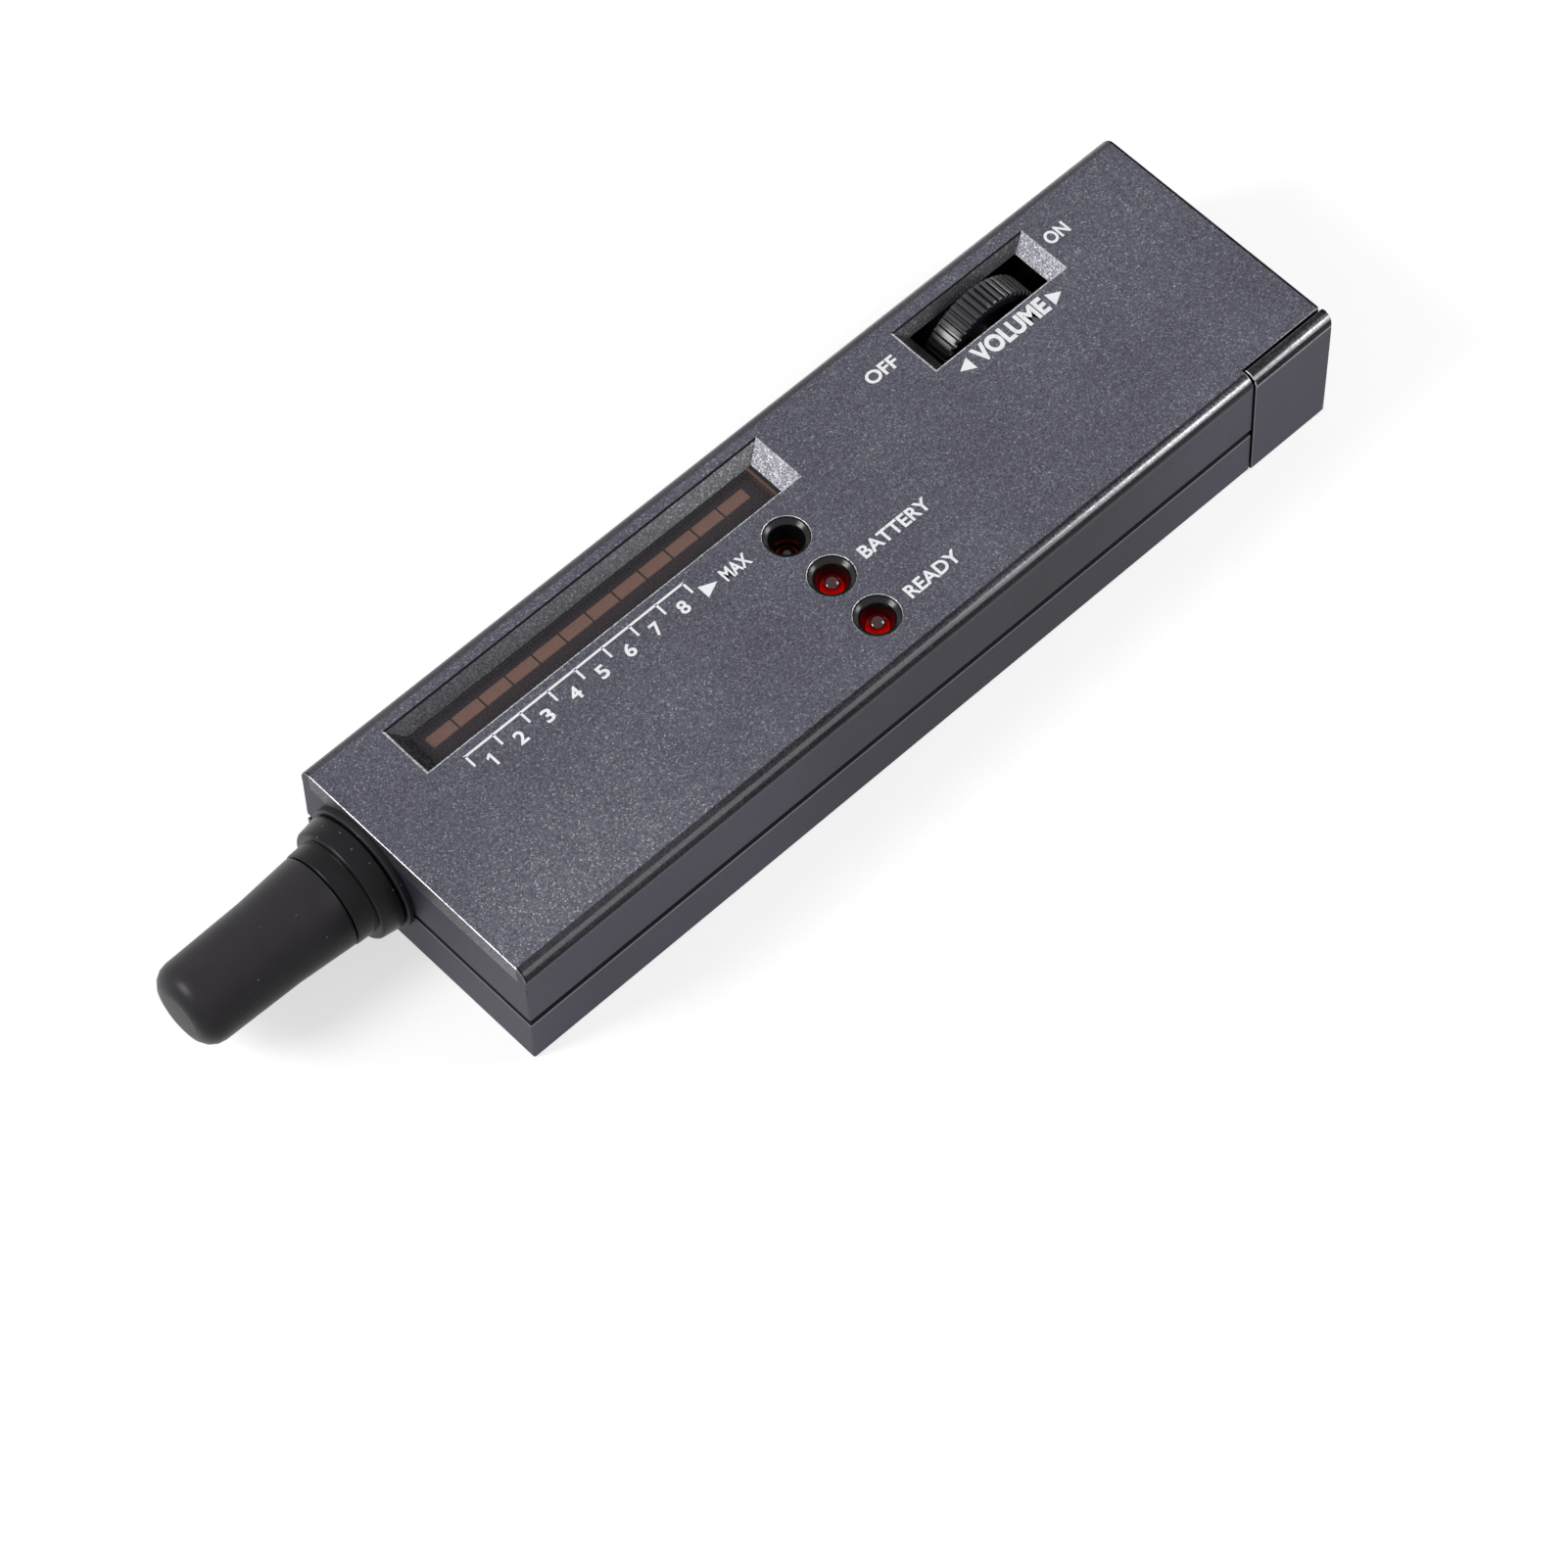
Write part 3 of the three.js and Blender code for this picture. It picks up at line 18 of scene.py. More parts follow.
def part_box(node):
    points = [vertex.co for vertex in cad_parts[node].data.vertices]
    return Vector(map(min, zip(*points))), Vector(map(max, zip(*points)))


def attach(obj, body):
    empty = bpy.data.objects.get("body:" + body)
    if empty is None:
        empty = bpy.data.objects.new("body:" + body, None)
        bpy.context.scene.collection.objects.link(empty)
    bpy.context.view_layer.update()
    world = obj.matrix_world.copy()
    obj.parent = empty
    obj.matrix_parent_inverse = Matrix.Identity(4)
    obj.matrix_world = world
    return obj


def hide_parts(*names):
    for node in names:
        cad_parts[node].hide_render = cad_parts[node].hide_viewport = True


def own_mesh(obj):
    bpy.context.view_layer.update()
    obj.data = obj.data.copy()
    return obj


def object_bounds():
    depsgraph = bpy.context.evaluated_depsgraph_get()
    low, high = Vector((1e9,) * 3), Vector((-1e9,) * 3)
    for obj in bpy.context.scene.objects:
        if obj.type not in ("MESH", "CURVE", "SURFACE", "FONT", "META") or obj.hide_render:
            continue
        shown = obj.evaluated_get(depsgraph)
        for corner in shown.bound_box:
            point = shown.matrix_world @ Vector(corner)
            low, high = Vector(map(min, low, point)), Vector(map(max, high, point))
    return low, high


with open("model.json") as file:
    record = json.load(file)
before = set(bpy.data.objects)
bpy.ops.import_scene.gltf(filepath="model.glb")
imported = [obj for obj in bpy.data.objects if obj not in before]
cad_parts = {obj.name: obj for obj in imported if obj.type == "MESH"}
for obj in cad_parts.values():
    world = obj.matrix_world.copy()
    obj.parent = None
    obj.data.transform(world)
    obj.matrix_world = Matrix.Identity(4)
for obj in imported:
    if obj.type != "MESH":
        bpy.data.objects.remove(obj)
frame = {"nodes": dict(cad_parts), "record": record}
packed_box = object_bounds()
nodes = frame["nodes"]
bodies = frame["record"]["behaviour"]["bodies"]
body_of = {name: body for body, names in bodies.items() for name in names}
slot_of = {name: node.data.materials[0].name for name, node in nodes.items()}

MM = 0.001
packed_size = (packed_box[1] - packed_box[0]) / MM


def box_of(name):
    """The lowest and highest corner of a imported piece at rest, in millimetres."""
    return [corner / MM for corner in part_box(name)]


print("packed:", len(nodes), "pieces,", [round(side, 1) for side in packed_size], "mm")

# %% [markdown]
# The picture was taken with a long lens, high over the near left corner. A long lens
# shows the far end of the tester almost as large as the near one, so the focal length
# matters as much as the angle. The camera's axes are worked out from its azimuth,
# elevation and a slight roll, which keeps the numbers readable and easy to change.

# %% Camera
frame_pixels = 1601
focal_pixels = 6023.487
sensor_width = 36
camera_place = (-0.27204, -0.31146, 0.65168)
azimuth, elevation, roll = (math.radians(angle) for angle in (-41.816, 58.498, -2.001))

backwards = Vector((
    math.sin(azimuth) * math.cos(elevation),
    -math.cos(azimuth) * math.cos(elevation),
    math.sin(elevation),
))
level = Vector((math.cos(azimuth), math.sin(azimuth), 0))
upright = backwards.cross(level)
sideways = math.cos(roll) * level + math.sin(roll) * upright
upwards = math.cos(roll) * upright - math.sin(roll) * level

camera = bpy.data.objects.new("camera", bpy.data.cameras.new("camera"))
camera.data.sensor_width = sensor_width
camera.data.lens = sensor_width * focal_pixels / frame_pixels
camera.data.clip_start = 0.01
axes = Matrix((sideways, upwards, backwards)).transposed().to_4x4()
camera.matrix_world = Matrix.Translation(camera_place) @ axes
bpy.context.scene.collection.objects.link(camera)
bpy.context.scene.camera = camera
print("lens:", round(camera.data.lens, 1), "mm")

# %% [markdown]
# A finish is easier to read as a sum than as a net of nodes. The class below wraps an
# output socket, so that an expression on it adds Math nodes, and a second class holds
# one material and adds any other node by its type, its settings and its inputs.
# Noise and cell patterns take their size in millimetres on the object itself, because
# paint flakes and moulded grain have a real size and don't depend on how a mesh is cut.

# %% Shader arithmetic


def feed(entry, value):
    """Gives an input socket a link, a colour or a number."""
    if isinstance(value, Link):
        entry.id_data.links.new(value.socket, entry)
    elif entry.type == "RGBA":
        entry.default_value = (*value, 1)
    else:
        entry.default_value = value


class Link:
    """An output socket that can be used in sums."""

    def __init__(self, socket):
        self.socket = socket

    def join(self, operation, *values):
        made = self.socket.id_data.nodes.new("ShaderNodeMath")
        made.operation = operation
        for entry, value in zip(made.inputs, values):
            feed(entry, value)
        return Link(made.outputs[0])

    def __add__(self, other):
        return self.join("ADD", self, other)

    __radd__ = __add__

    def __mul__(self, other):
        return self.join("MULTIPLY", self, other)

    __rmul__ = __mul__

    def __sub__(self, other):
        return self.join("SUBTRACT", self, other)

    def __rsub__(self, other):
        return self.join("SUBTRACT", other, self)

    def __gt__(self, other):
        return self.join("GREATER_THAN", self, other)

    def __lt__(self, other):
        return self.join("LESS_THAN", self, other)

    def size(self):
        return self.join("ABSOLUTE", self)

    def either(self, other):
        """The larger of two masks."""
        return self.join("MAXIMUM", self, other)

    def within(self, low, high):
        """How far a value has come from low to high, as 0 to 1, with soft ends."""
        made = self.socket.id_data.nodes.new("ShaderNodeMapRange")
        made.interpolation_type = "SMOOTHSTEP"
        for entry, value in zip(made.inputs, (self, low, high, 0, 1)):
            feed(entry, value)
        return Link(made.outputs[0])


def tone(red, green, blue):
    """A colour as a screen shows it, in 0 to 255, turned into light."""
    shares = [part / 255 for part in (red, green, blue)]
    return [
        share / 12.92 if share <= 0.04045 else ((share + 0.055) / 1.055) ** 2.4
        for share in shares
    ]


def set_stops(elements, stops):
    while len(elements) < len(stops):
        elements.new(1)
    for element, (position, colour) in zip(elements, stops):
        element.position = position
        element.color = (*colour, 1)


finishes = {}


class Finish:
    """One material, kept by its name, with the patterns that its look is made from."""

    def __init__(self, name, **constants):
        finishes[name] = self
        self.material = bpy.data.materials.new(name)
        self.material.use_nodes = True
        self.tree = self.material.node_tree
        self.shader = self.tree.nodes["Principled BSDF"]
        self.place = self.node("ShaderNodeTexCoord", out="Object")
        self.wear(**constants)

    def node(self, kind, settings=None, inputs=None, out=0):
        made = self.tree.nodes.new(kind)
        for name, value in (settings or {}).items():
            if name == "stops":
                set_stops(made.color_ramp.elements, value)
            else:
                setattr(made, name, value)
        for name, value in (inputs or {}).items():
            feed(made.inputs[name], value)
        return Link(made.outputs[out])

    def wear(self, **values):
        """Sets inputs of the shader, such as base_color or roughness."""
        for name, value in values.items():
            words = name.replace("_", " ").title().replace("Ior", "IOR")
            feed(self.shader.inputs[words], value)

    def noise(self, size, detail=2, place=None):
        inputs = {"Vector": place or self.place, "Scale": 1 / (size * MM), "Detail": detail}
        return self.node("ShaderNodeTexNoise", None, inputs)

    def voronoi(self, size, out):
        inputs = {"Vector": self.place, "Scale": 1 / (size * MM)}
        return self.node("ShaderNodeTexVoronoi", None, inputs, out)

    def cells(self, size):
        """A random number for each small cell, such as a flake in paint."""
        return self.node("ShaderNodeSeparateColor", None, {0: self.voronoi(size, "Color")})

    def specks(self, size, share):
        """Small round dots in some of the cells, such as dust."""
        dot = 1 - self.voronoi(size, "Distance").within(0.12, 0.3)
        return dot * (self.cells(size) > 1 - share)

    def axis(self, name):
        """Where a point lies along X, Y or Z, in millimetres."""
        part = self.node("ShaderNodeSeparateXYZ", None, {0: self.place}, name)
        return part * (1 / MM)

    def facing(self, name):
        """How far the surface itself turns to X, Y or Z, from -1 to 1."""
        turned_to = self.node("ShaderNodeTexCoord", out="Normal")
        return self.node("ShaderNodeSeparateXYZ", None, {0: turned_to}, name)

    def stretched(self, x, y, z):
        """The same places, squeezed along each axis, for streaks and strands."""
        inputs = {0: self.place, 1: (x, y, z)}
        return self.node("ShaderNodeVectorMath", {"operation": "MULTIPLY"}, inputs)

    def mix(self, share, first, second):
        """Two colours. The node has sockets for other kinds of value before these."""
        share_in, first_in, second_in, colour_out = 0, 6, 7, 2
        inputs = {share_in: share, first_in: first, second_in: second}
        return self.node("ShaderNodeMix", {"data_type": "RGBA"}, inputs, colour_out)

    def ramp(self, value, *stops):
        return self.node("ShaderNodeValToRGB", {"stops": stops}, {0: value})

    def bump(self, height, depth, strength=1.0):
        """Relief of a pattern that rises by depth, in millimetres."""
        inputs = {"Strength": strength, "Distance": depth * MM, "Height": height}
        self.wear(normal=self.node("ShaderNodeBump", None, inputs))


print("a mid grey of the screen is", round(tone(128, 128, 128)[0], 3), "as light")

# %% [markdown]
# The housing is black plastic, sprayed outside with a grey metallic paint. Up close the
# paint is a field of tiny flakes: most are dark violet grey, some catch the light. Cells
# of a fifth of a millimetre give the flakes, a slower noise gives the uneven spray, and
# a fine relief breaks the highlights. Part of each flake is metal, which is why the
# slopes that face the light turn silver while the rest stays dull. The spray is rough on
# the plate and smooth on the sides. Light and shade are also painted into the grey: the
# sides are painted darker than the plate and darkest in their middle, the slopes that
# face the rear take painted shade, the far slopes take painted light towards the rear,
# each rounded long edge gets a painted highlight band between two painted dark bands,
# and a painted shade line runs along the plate's rear edge.
#
# The numbers below say where the paint changes. A pair is the start and the end of a
# soft change.

# %% Finish: housing paint
recess_foot_height, plate_height = 17.2, 20.25
plate_half_width, plate_half_length = 19.5, 80
spray_height, spray_front = (17.6, 19.9), -55.9
band_side, band_height = (19.25, 19.45), (18.5, 18.7)
crest_up, crest_down = (19.5, 19.7), (19.95, 20.1)
dark_rear_reach, dark_rear_height = (86.85, 87), 20.2
side_shade_middle, side_shade_reach = 25, (15, 45)
bright_along, bright_side = (-50, 10), (-20, 5)
turned_rear, turned_near = (0.3, 0.5), (0.4, 0.6)
flake_size, fine_size, cloud_size = 0.17, 0.28, 16


def speckled_paint(name, brightness, painted_shade):
    """Brightness is the middle of the grey, and the last number scales the painted shade on the
    edges.
    """
    paint = Finish(name, metallic=0.9, specular_ior_level=0.4)
    flake, fine = paint.cells(flake_size), paint.noise(fine_size, detail=3)
    cloud = paint.noise(cloud_size, detail=3)
    along, side, height = paint.axis("X"), paint.axis("Y"), paint.axis("Z")
    across = side.size()

    # the slopes in the recesses, by what they face: painted shade and painted light
    on_plate = (across < plate_half_width) * (along.size() < plate_half_length)
    sunk = (height > recess_foot_height) * on_plate
    plate_spray_and_light = sunk.either(height.within(*spray_height) * (along > spray_front))
    slope = sunk * (height < plate_height)
    shaded = slope * paint.facing("X").within(*turned_rear)
    lit_far_slopes = slope * (0 - paint.facing("Y")).within(*turned_near)
    lit_far_slopes = lit_far_slopes * (along.within(-50, 25) - 0.35)

    # painted shade bands on the long edges, a painted highlight between, and a dark rear-edge
    # line
    long_edge = across.within(*band_side) * height.within(*band_height)
    crest = height.within(*crest_up) * (1 - height.within(*crest_down))
    crest_share = (0.35 + 0.4 * along.within(5, 60)) * crest
    depth = (0.42 - crest_share) * (1 - 0.5 * (side > 0))
    dark_rear_edge = along.within(*dark_rear_reach) * (height > dark_rear_height)

    # painted shade mid-side, lighter at the near front corner, slow changes from place to place,
    # grain
    middle = 1 - (along - side_shade_middle).size().within(*side_shade_reach)
    front_corner = (1 - along.within(*bright_along)) * (1 - side.within(*bright_side)) * plate_spray_and_light
    glints = 0.12 * (flake > 0.93)
    grain = (0.3 * flake + 0.5 * fine + glints - 0.41) * (0.12 + 0.88 * plate_spray_and_light)

    # painted shade: the sides are darker than the plate, which also has the rougher spray
    light = brightness - 0.28 + 0.27 * plate_spray_and_light
    light = light - 0.1 * middle * (1 - plate_spray_and_light) + 0.1 * front_corner
    light = light + grain * (1 - 0.6 * long_edge) + 0.16 * (cloud - 0.5)
    light = light - painted_shade * (long_edge * depth + 0.5 * dark_rear_edge)
    light = light - 0.06 * slope - 0.36 * shaded + 0.3 * lit_far_slopes
    greyed = slope.either(long_edge)
    colour = paint.ramp(
        light,
        (0.0, tone(20, 20, 23)),
        (0.25, tone(65, 62, 75)),
        (0.5, tone(90, 90, 101)),
        (0.75, tone(123, 124, 132)),
        (1.0, tone(206, 207, 212)),
    )
    inputs = {"Color": colour, "Saturation": 1 - 0.55 * greyed}
    paint.wear(base_color=paint.node("ShaderNodeHueSaturation", None, inputs))
    paint.wear(roughness=0.46 - 0.1 * flake * plate_spray_and_light + 0.06 * cloud - 0.08 * long_edge)
    paint.bump((0.6 * fine + 0.4 * flake) * plate_spray_and_light * (1 - 0.7 * long_edge), 0.012, 0.5)


def bare_plastic():
    plain = Finish("shell_inside", specular_ior_level=0.1)
    cloud = plain.noise(3)
    plain.wear(base_color=plain.mix(cloud, tone(9, 9, 10), tone(17, 17, 19)))
    plain.wear(roughness=0.5 + 0.2 * cloud)


speckled_paint("shell_paint", 0.5, 1)
# the lighter grey of the painted highlight lines along edges
speckled_paint("shell_edge_highlight", 0.93, 0)
bare_plastic()
print("paint:", len(finishes["shell_paint"].tree.nodes), "nodes")

# %% [markdown]
# The nose, the wheel and the lamp cups are black, but not the same black. The cap is a
# soft rubber with a satin sheen and a little dust. The collar and the wheel are moulded
# plastic, smoother and harder. The cups are polished, so that they throw the lamps'
# light forward. Roughness and shine tell them apart more than colour does, and what
# faces up is painted paler than the rest, as painted light from above.

# %% Finishes: the blacks


def dusty_black(name, dark, pale, roughness, dust, grain, shine):
    """Dust is the share of cells with a speck in them, and grain the size of the relief."""
    black = Finish(name, specular_ior_level=shine)
    cloud = black.noise(4, detail=4)
    specks = black.specks(0.55, dust)
    skin = black.noise(grain, detail=3)
    # painted light: faces that look up are paler, mixed with a slow cloud
    cloud_and_top_light = 0.3 * cloud + 0.7 * black.facing("Z").within(-0.2, 1)
    base = black.mix(cloud_and_top_light, tone(*dark), tone(*pale))
    black.wear(base_color=black.mix(0.5 * specks, base, tone(150, 150, 152)))
    black.wear(roughness=roughness + 0.12 * cloud + 0.3 * specks)
    black.bump(skin, 0.006, 0.6)


dusty_black("cap_rubber", (4, 4, 5), (52, 49, 53), 0.3, 0.02, 0.3, 0.14)
dusty_black("black_plastic", (4, 4, 5), (26, 26, 29), 0.26, 0.03, 0.5, 0.16)
dusty_black("gloss_black", (8, 8, 9), (13, 13, 14), 0.14, 0.01, 0.8, 0.32)
dusty_black("wheel_plastic", (26, 27, 31), (36, 37, 42), 0.22, 0.03, 0.5, 0.6)
print("blacks:", [name for name in finishes if not name.startswith("shell")])

# %% [markdown]
# The window is a pane of smoked plastic with the bar lamps close behind it. A true glass
# shader would leave the lamps in the dark, because light can't find its way in through a
# bending surface. A share of plain see-through tint, mixed with a dark glossy surface,
# lets the light in and still mirrors the room. The bars are milky and unlit.

# %% Finishes: window, bars and signal lamps


def smoked_window():
    """A pane with a dark border, and a brown strip across it near the rear end."""
    pane = Finish("window_tint", roughness=0.12, specular_ior_level=0.3)
    low, high = box_of("display_window")
    middle, half_length = (low + high) / 2, (high.x - low.x) / 2
    end_border, side_border, soft_step = 1.45, 2.5, 0.1
    strip_start, strip_end = high.x - 1.95, high.x - 1.55
    along, across = pane.axis("X"), pane.axis("Y")
    end_start = half_length - end_border
    ends = (along - middle.x).size().within(end_start, end_start + soft_step)
    sides = (across - middle.y).size().within(side_border, side_border + soft_step)
    border = ends.either(sides)
    strip = along.within(strip_start, strip_start + soft_step)
    strip = strip * (1 - along.within(strip_end, strip_end + soft_step))
    smoke = pane.mix(pane.noise(6), tone(88, 84, 92), tone(98, 94, 102))
    edged = pane.mix(border, smoke, tone(22, 20, 22))
    pane.wear(base_color=pane.mix(strip, edged, tone(104, 74, 62)))
    clear = pane.node("ShaderNodeBsdfTransparent", None, {"Color": (0.86, 0.77, 0.72)})
    surface = Link(pane.shader.outputs[0])
    solid = 0.24 + 0.66 * border.either(strip)
    mixed = pane.node("ShaderNodeMixShader", None, {0: solid, 1: clear, 2: surface})
    feed(pane.tree.nodes["Material Output"].inputs["Surface"], mixed)


def milky_bar():
    bar = Finish("bar_lens", roughness=0.45)
    cloud = bar.noise(1.4)
    bar.wear(base_color=bar.mix(cloud, tone(224, 206, 196), tone(236, 218, 208)))
    bar.bump(bar.noise(0.25), 0.01, 0.4)


def lamp_lens(name, lamp, deep, lit_foot_colour, painted_glow_strength):
    """A clear tinted dome, painted dark on top and bright at its foot, with a painted glow there.
    """
    top = box_of(lamp)[1].z
    lens = Finish(name, roughness=0.06, specular_ior_level=0.5)
    low = 1 - lens.axis("Z").within(top - 1.4, top - 0.3)
    colour = lens.mix(low * (0.75 + 0.5 * lens.noise(1.2)), deep, lit_foot_colour)
    # painted glow at the foot: the lamp itself is not lit
    painted_glow_colour = lens.mix(low, (0, 0, 0), lit_foot_colour)
    lens.wear(base_color=colour, emission_color=painted_glow_colour, emission_strength=painted_glow_strength)


smoked_window()
milky_bar()
lamp_lens("amber_lens", "signal_lamp_1", tone(50, 10, 3), tone(170, 52, 8), 0.6)
lamp_lens("red_lens", "signal_lamp_2", tone(60, 1, 3), tone(255, 8, 4), 0.4)
print("lamps and window done")

# %% [markdown]
# Inside are the parts that only show with the cover off or taken apart: a green board
# with copper tracks under its lacquer, black chips, a sleeved capacitor, banded
# resistors, insulated leads and a block battery in a metal can. Each gets its own small
# pattern, from the same few building stones.

# %% Finishes: the electronics


def lacquered_board():
    green = Finish("board_green", roughness=0.3, coat_weight=0.4)
    tracks = green.noise(2.2, detail=0, place=green.stretched(1, 2.5, 1))
    track = (tracks - 0.5).size().within(0.025, 0.04)
    base = green.mix(track, tone(74, 142, 84), tone(22, 88, 50))
    green.wear(base_color=green.mix(green.specks(2.5, 0.3), base, tone(200, 196, 184)))
    green.bump(1 - track, 0.03)


def banded_resistor():
    body = Finish("resistor_body", roughness=0.4)
    tan = tone(205, 176, 132)
    stops = [(0.0, tan), (0.7, tan), (0.75, tone(122, 58, 24)), (0.9, tone(190, 40, 30))]
    body.wear(base_color=body.ramp(body.cells(1.1), *stops))


def metal(name, dark, pale, roughness):
    bare = Finish(name, metallic=1)
    brushed = bare.noise(0.4, detail=4)
    bare.wear(base_color=bare.mix(brushed, tone(*dark), tone(*pale)))
    bare.wear(roughness=roughness + 0.15 * brushed)
    bare.bump(brushed, 0.004, 0.4)


def battery_wrap():
    """A plain metal can with a dark printed sleeve and a copper band at its terminals."""
    wrap = Finish("battery_can", roughness=0.3)
    low, high = (corner.x for corner in box_of("battery"))
    cap_reach, band_reach, foot_reach = 2.2, 13, 0.5
    along = wrap.axis("X")
    band = (along < low + band_reach) * (along > low + cap_reach)
    sleeve = wrap.mix(wrap.noise(5), tone(26, 28, 33), tone(36, 38, 44))
    sleeve = wrap.mix(band, sleeve, tone(178, 108, 58))
    steel = (along < low + cap_reach) + (along > high - foot_reach)
    wrap.wear(base_color=wrap.mix(steel, sleeve, tone(176, 176, 178)))
    wrap.wear(metallic=0.25 + 0.7 * steel)


def plain_part(name, dark, pale, roughness):
    part = Finish(name)
    cloud = part.noise(1.2, detail=3)
    part.wear(base_color=part.mix(cloud, tone(*dark), tone(*pale)))
    part.wear(roughness=roughness + 0.1 * cloud)
    part.bump(cloud, 0.01, 0.5)


lacquered_board()
banded_resistor()
battery_wrap()
metal("screw_steel", (150, 150, 152), (196, 196, 198), 0.25)
metal("probe_copper", (168, 94, 56), (206, 132, 88), 0.22)
plain_part("foam", (50, 50, 52), (70, 70, 72), 0.85)
plain_part("chip_black", (28, 28, 30), (42, 42, 44), 0.5)
plain_part("trimmer_blue", (34, 76, 150), (48, 92, 172), 0.4)
plain_part("capacitor_sleeve", (30, 40, 82), (44, 56, 104), 0.3)
plain_part("lead_red", (168, 26, 22), (192, 38, 32), 0.4)
plain_part("lead_black", (22, 22, 22), (34, 34, 34), 0.4)
plain_part("lead_white", (210, 208, 200), (226, 224, 218), 0.4)
plain_part("heater_ceramic", (206, 200, 186), (222, 216, 204), 0.6)
for name, node in nodes.items():
    node.material_slots[0].material = finishes[slot_of[name]].material
print(len(finishes), "finishes for", len(set(slot_of.values())), "slots")

# %% [markdown]
# Moulded parts never have knife edges. A small round on each edge catches the light as a
# thin line, and without it a box looks drawn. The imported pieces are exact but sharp, so
# each one that shows is copied, its flat triangles are joined back into whole faces, and
# its edges are rounded. Edges of the same width are rounded together, because the width
# of a round is limited by the shortest edge in its group.

# %% Soft edges
same_point, same_plane = 0.002 * MM, math.radians(0.3)
rounded_edge, sharp_edge = math.radians(30), math.radians(38)


def give(piece, slot, body, replaced):
    """Gives a piece its finish if it has none, hangs it on its body, and hides what it replaces.
    """
    if not piece.data.materials:
        piece.data.materials.append(finishes[slot].material)
    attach(piece, body)
    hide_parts(*replaced)
    return piece


def add(name, shape):
    """Turns a bmesh into an object with smooth faces, and lets go of the bmesh."""
    mesh = bpy.data.meshes.new(name)
    bmesh.ops.recalc_face_normals(shape, faces=shape.faces)
    if shape.calc_volume(signed=True) < 0:
        bmesh.ops.reverse_faces(shape, faces=shape.faces)
    shape.to_mesh(mesh)
    shape.free()
    mesh.shade_smooth()
    mesh.set_sharp_from_angle(angle=sharp_edge)
    piece = bpy.data.objects.new(name, mesh)
    bpy.context.scene.collection.objects.link(piece)
    return piece


def whole_faces(name, cuts=()):
    """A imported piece's shape, with its triangles joined into flat faces.

    Each cut is an axis and a place on it, and leaves an edge across the topmost faces. A
    plate with holes needs them, because a face can only go round a hole by way of an edge.
    """
    shape = bmesh.new()
    shape.from_mesh(nodes[name].data)
    bmesh.ops.remove_doubles(shape, verts=shape.verts, dist=same_point)
    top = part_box(name)[1].z - 0.01 * MM
    for axis, place in cuts:
        faces = [face for face in shape.faces if min(vert.co.z for vert in face.verts) > top]
        edges = {edge for face in faces for edge in face.edges}
        verts = {vert for face in faces for vert in face.verts}
        made = bmesh.ops.bisect_plane(
            shape, geom=[*faces, *edges, *verts], dist=same_point,
            plane_co=Vector((place, place, place)) * MM, plane_no=axis,
        )
        for part in made["geom_cut"]:
            if isinstance(part, bmesh.types.BMEdge):
                part.seam = True
    bmesh.ops.dissolve_limit(
        shape, angle_limit=same_plane, verts=shape.verts, edges=shape.edges,
        delimit={"SEAM"},
    )
    return shape


def round_edges(shape, width, wanted, segments=2, slot=-1, clamp=True):
    """Rounds the sharp edges that a test picks out, and says how many they are.

    A test gets the lowest and the highest corner of the edge's own box, in millimetres.
    """
    edges = [
        edge for edge in shape.edges
        if edge.is_manifold and edge.calc_face_angle() > rounded_edge
        and wanted(*corners_of(edge))
    ]
    bmesh.ops.bevel(
        shape, geom=edges, offset=width * MM, offset_type="OFFSET", segments=segments,
        profile=0.5, affect="EDGES", clamp_overlap=clamp, material=slot,
    )
    return len(edges)


def corners_of(edge):
    ends = [vert.co / MM for vert in edge.verts]
    return Vector(map(min, *ends)), Vector(map(max, *ends))


def keep_flats_flat(piece):
    """Lets large faces decide the shading at their edges."""
    weighted = piece.modifiers.new("weighted", "WEIGHTED_NORMAL")
    weighted.keep_sharp = True
    weighted.weight = 80


def softened(name, width):
    """A stand-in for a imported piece, with all of its sharp edges rounded."""
    shape = whole_faces(name)
    round_edges(shape, width, lambda low, high: True)
    piece = add(name + "_soft", shape)
    keep_flats_flat(piece)
    return give(piece, slot_of[name], body_of[name], [name])


print("helpers for soft edges ready")

# %% [markdown]
# The two shells and the cover are painted outside only. Faces that lie in the joint
# between them or inside the walls stay bare black, and so does the broad chamfer on the
# lower shell, which makes the parting line read as a black groove. A face counts as
# outside when it lies on the skin of the housing or in a recess of the top plate. Many
# edges get a painted highlight: a narrow round in a lighter grey. The rounds on the far
# rims of the recesses and on the plate's rear edge are bare black, as painted shade lines.
# Broad faces are shaded flat, and only the narrow ones of a rounding are smooth.
#
# The top plate is one face with many holes, so it is cut twice, through the recesses and
# through the lamps. Each group below is a width, a finish and the edges that get it.
# The order matters, because a later group can lie on an earlier round.

# %% Housing shells and battery cover
# finishes of a face: plain paint, bare black, and the lighter grey of painted highlights
PLAIN, BARE_AND_SHADE, PAINTED_HIGHLIGHT = 0, 1, 2
skin_low = box_of("bottom_shell")[0]
plate_top = box_of("top_shell")[1].z
window_box, wheel_box, cover_box = map(box_of, ("display_window", "thumb_wheel", "battery_cover"))
recess_floor = window_box[1].z
parting_top, parting_gap = 8.75, 0.5
shell_side = 21.4
recess_near, recess_far, far_slope = 8.5, 18.5, 15.9
lip_inner, lip_outer = -18.6, -19.3
front_round, cover_round = 18.45, 18.2
level = 0.02


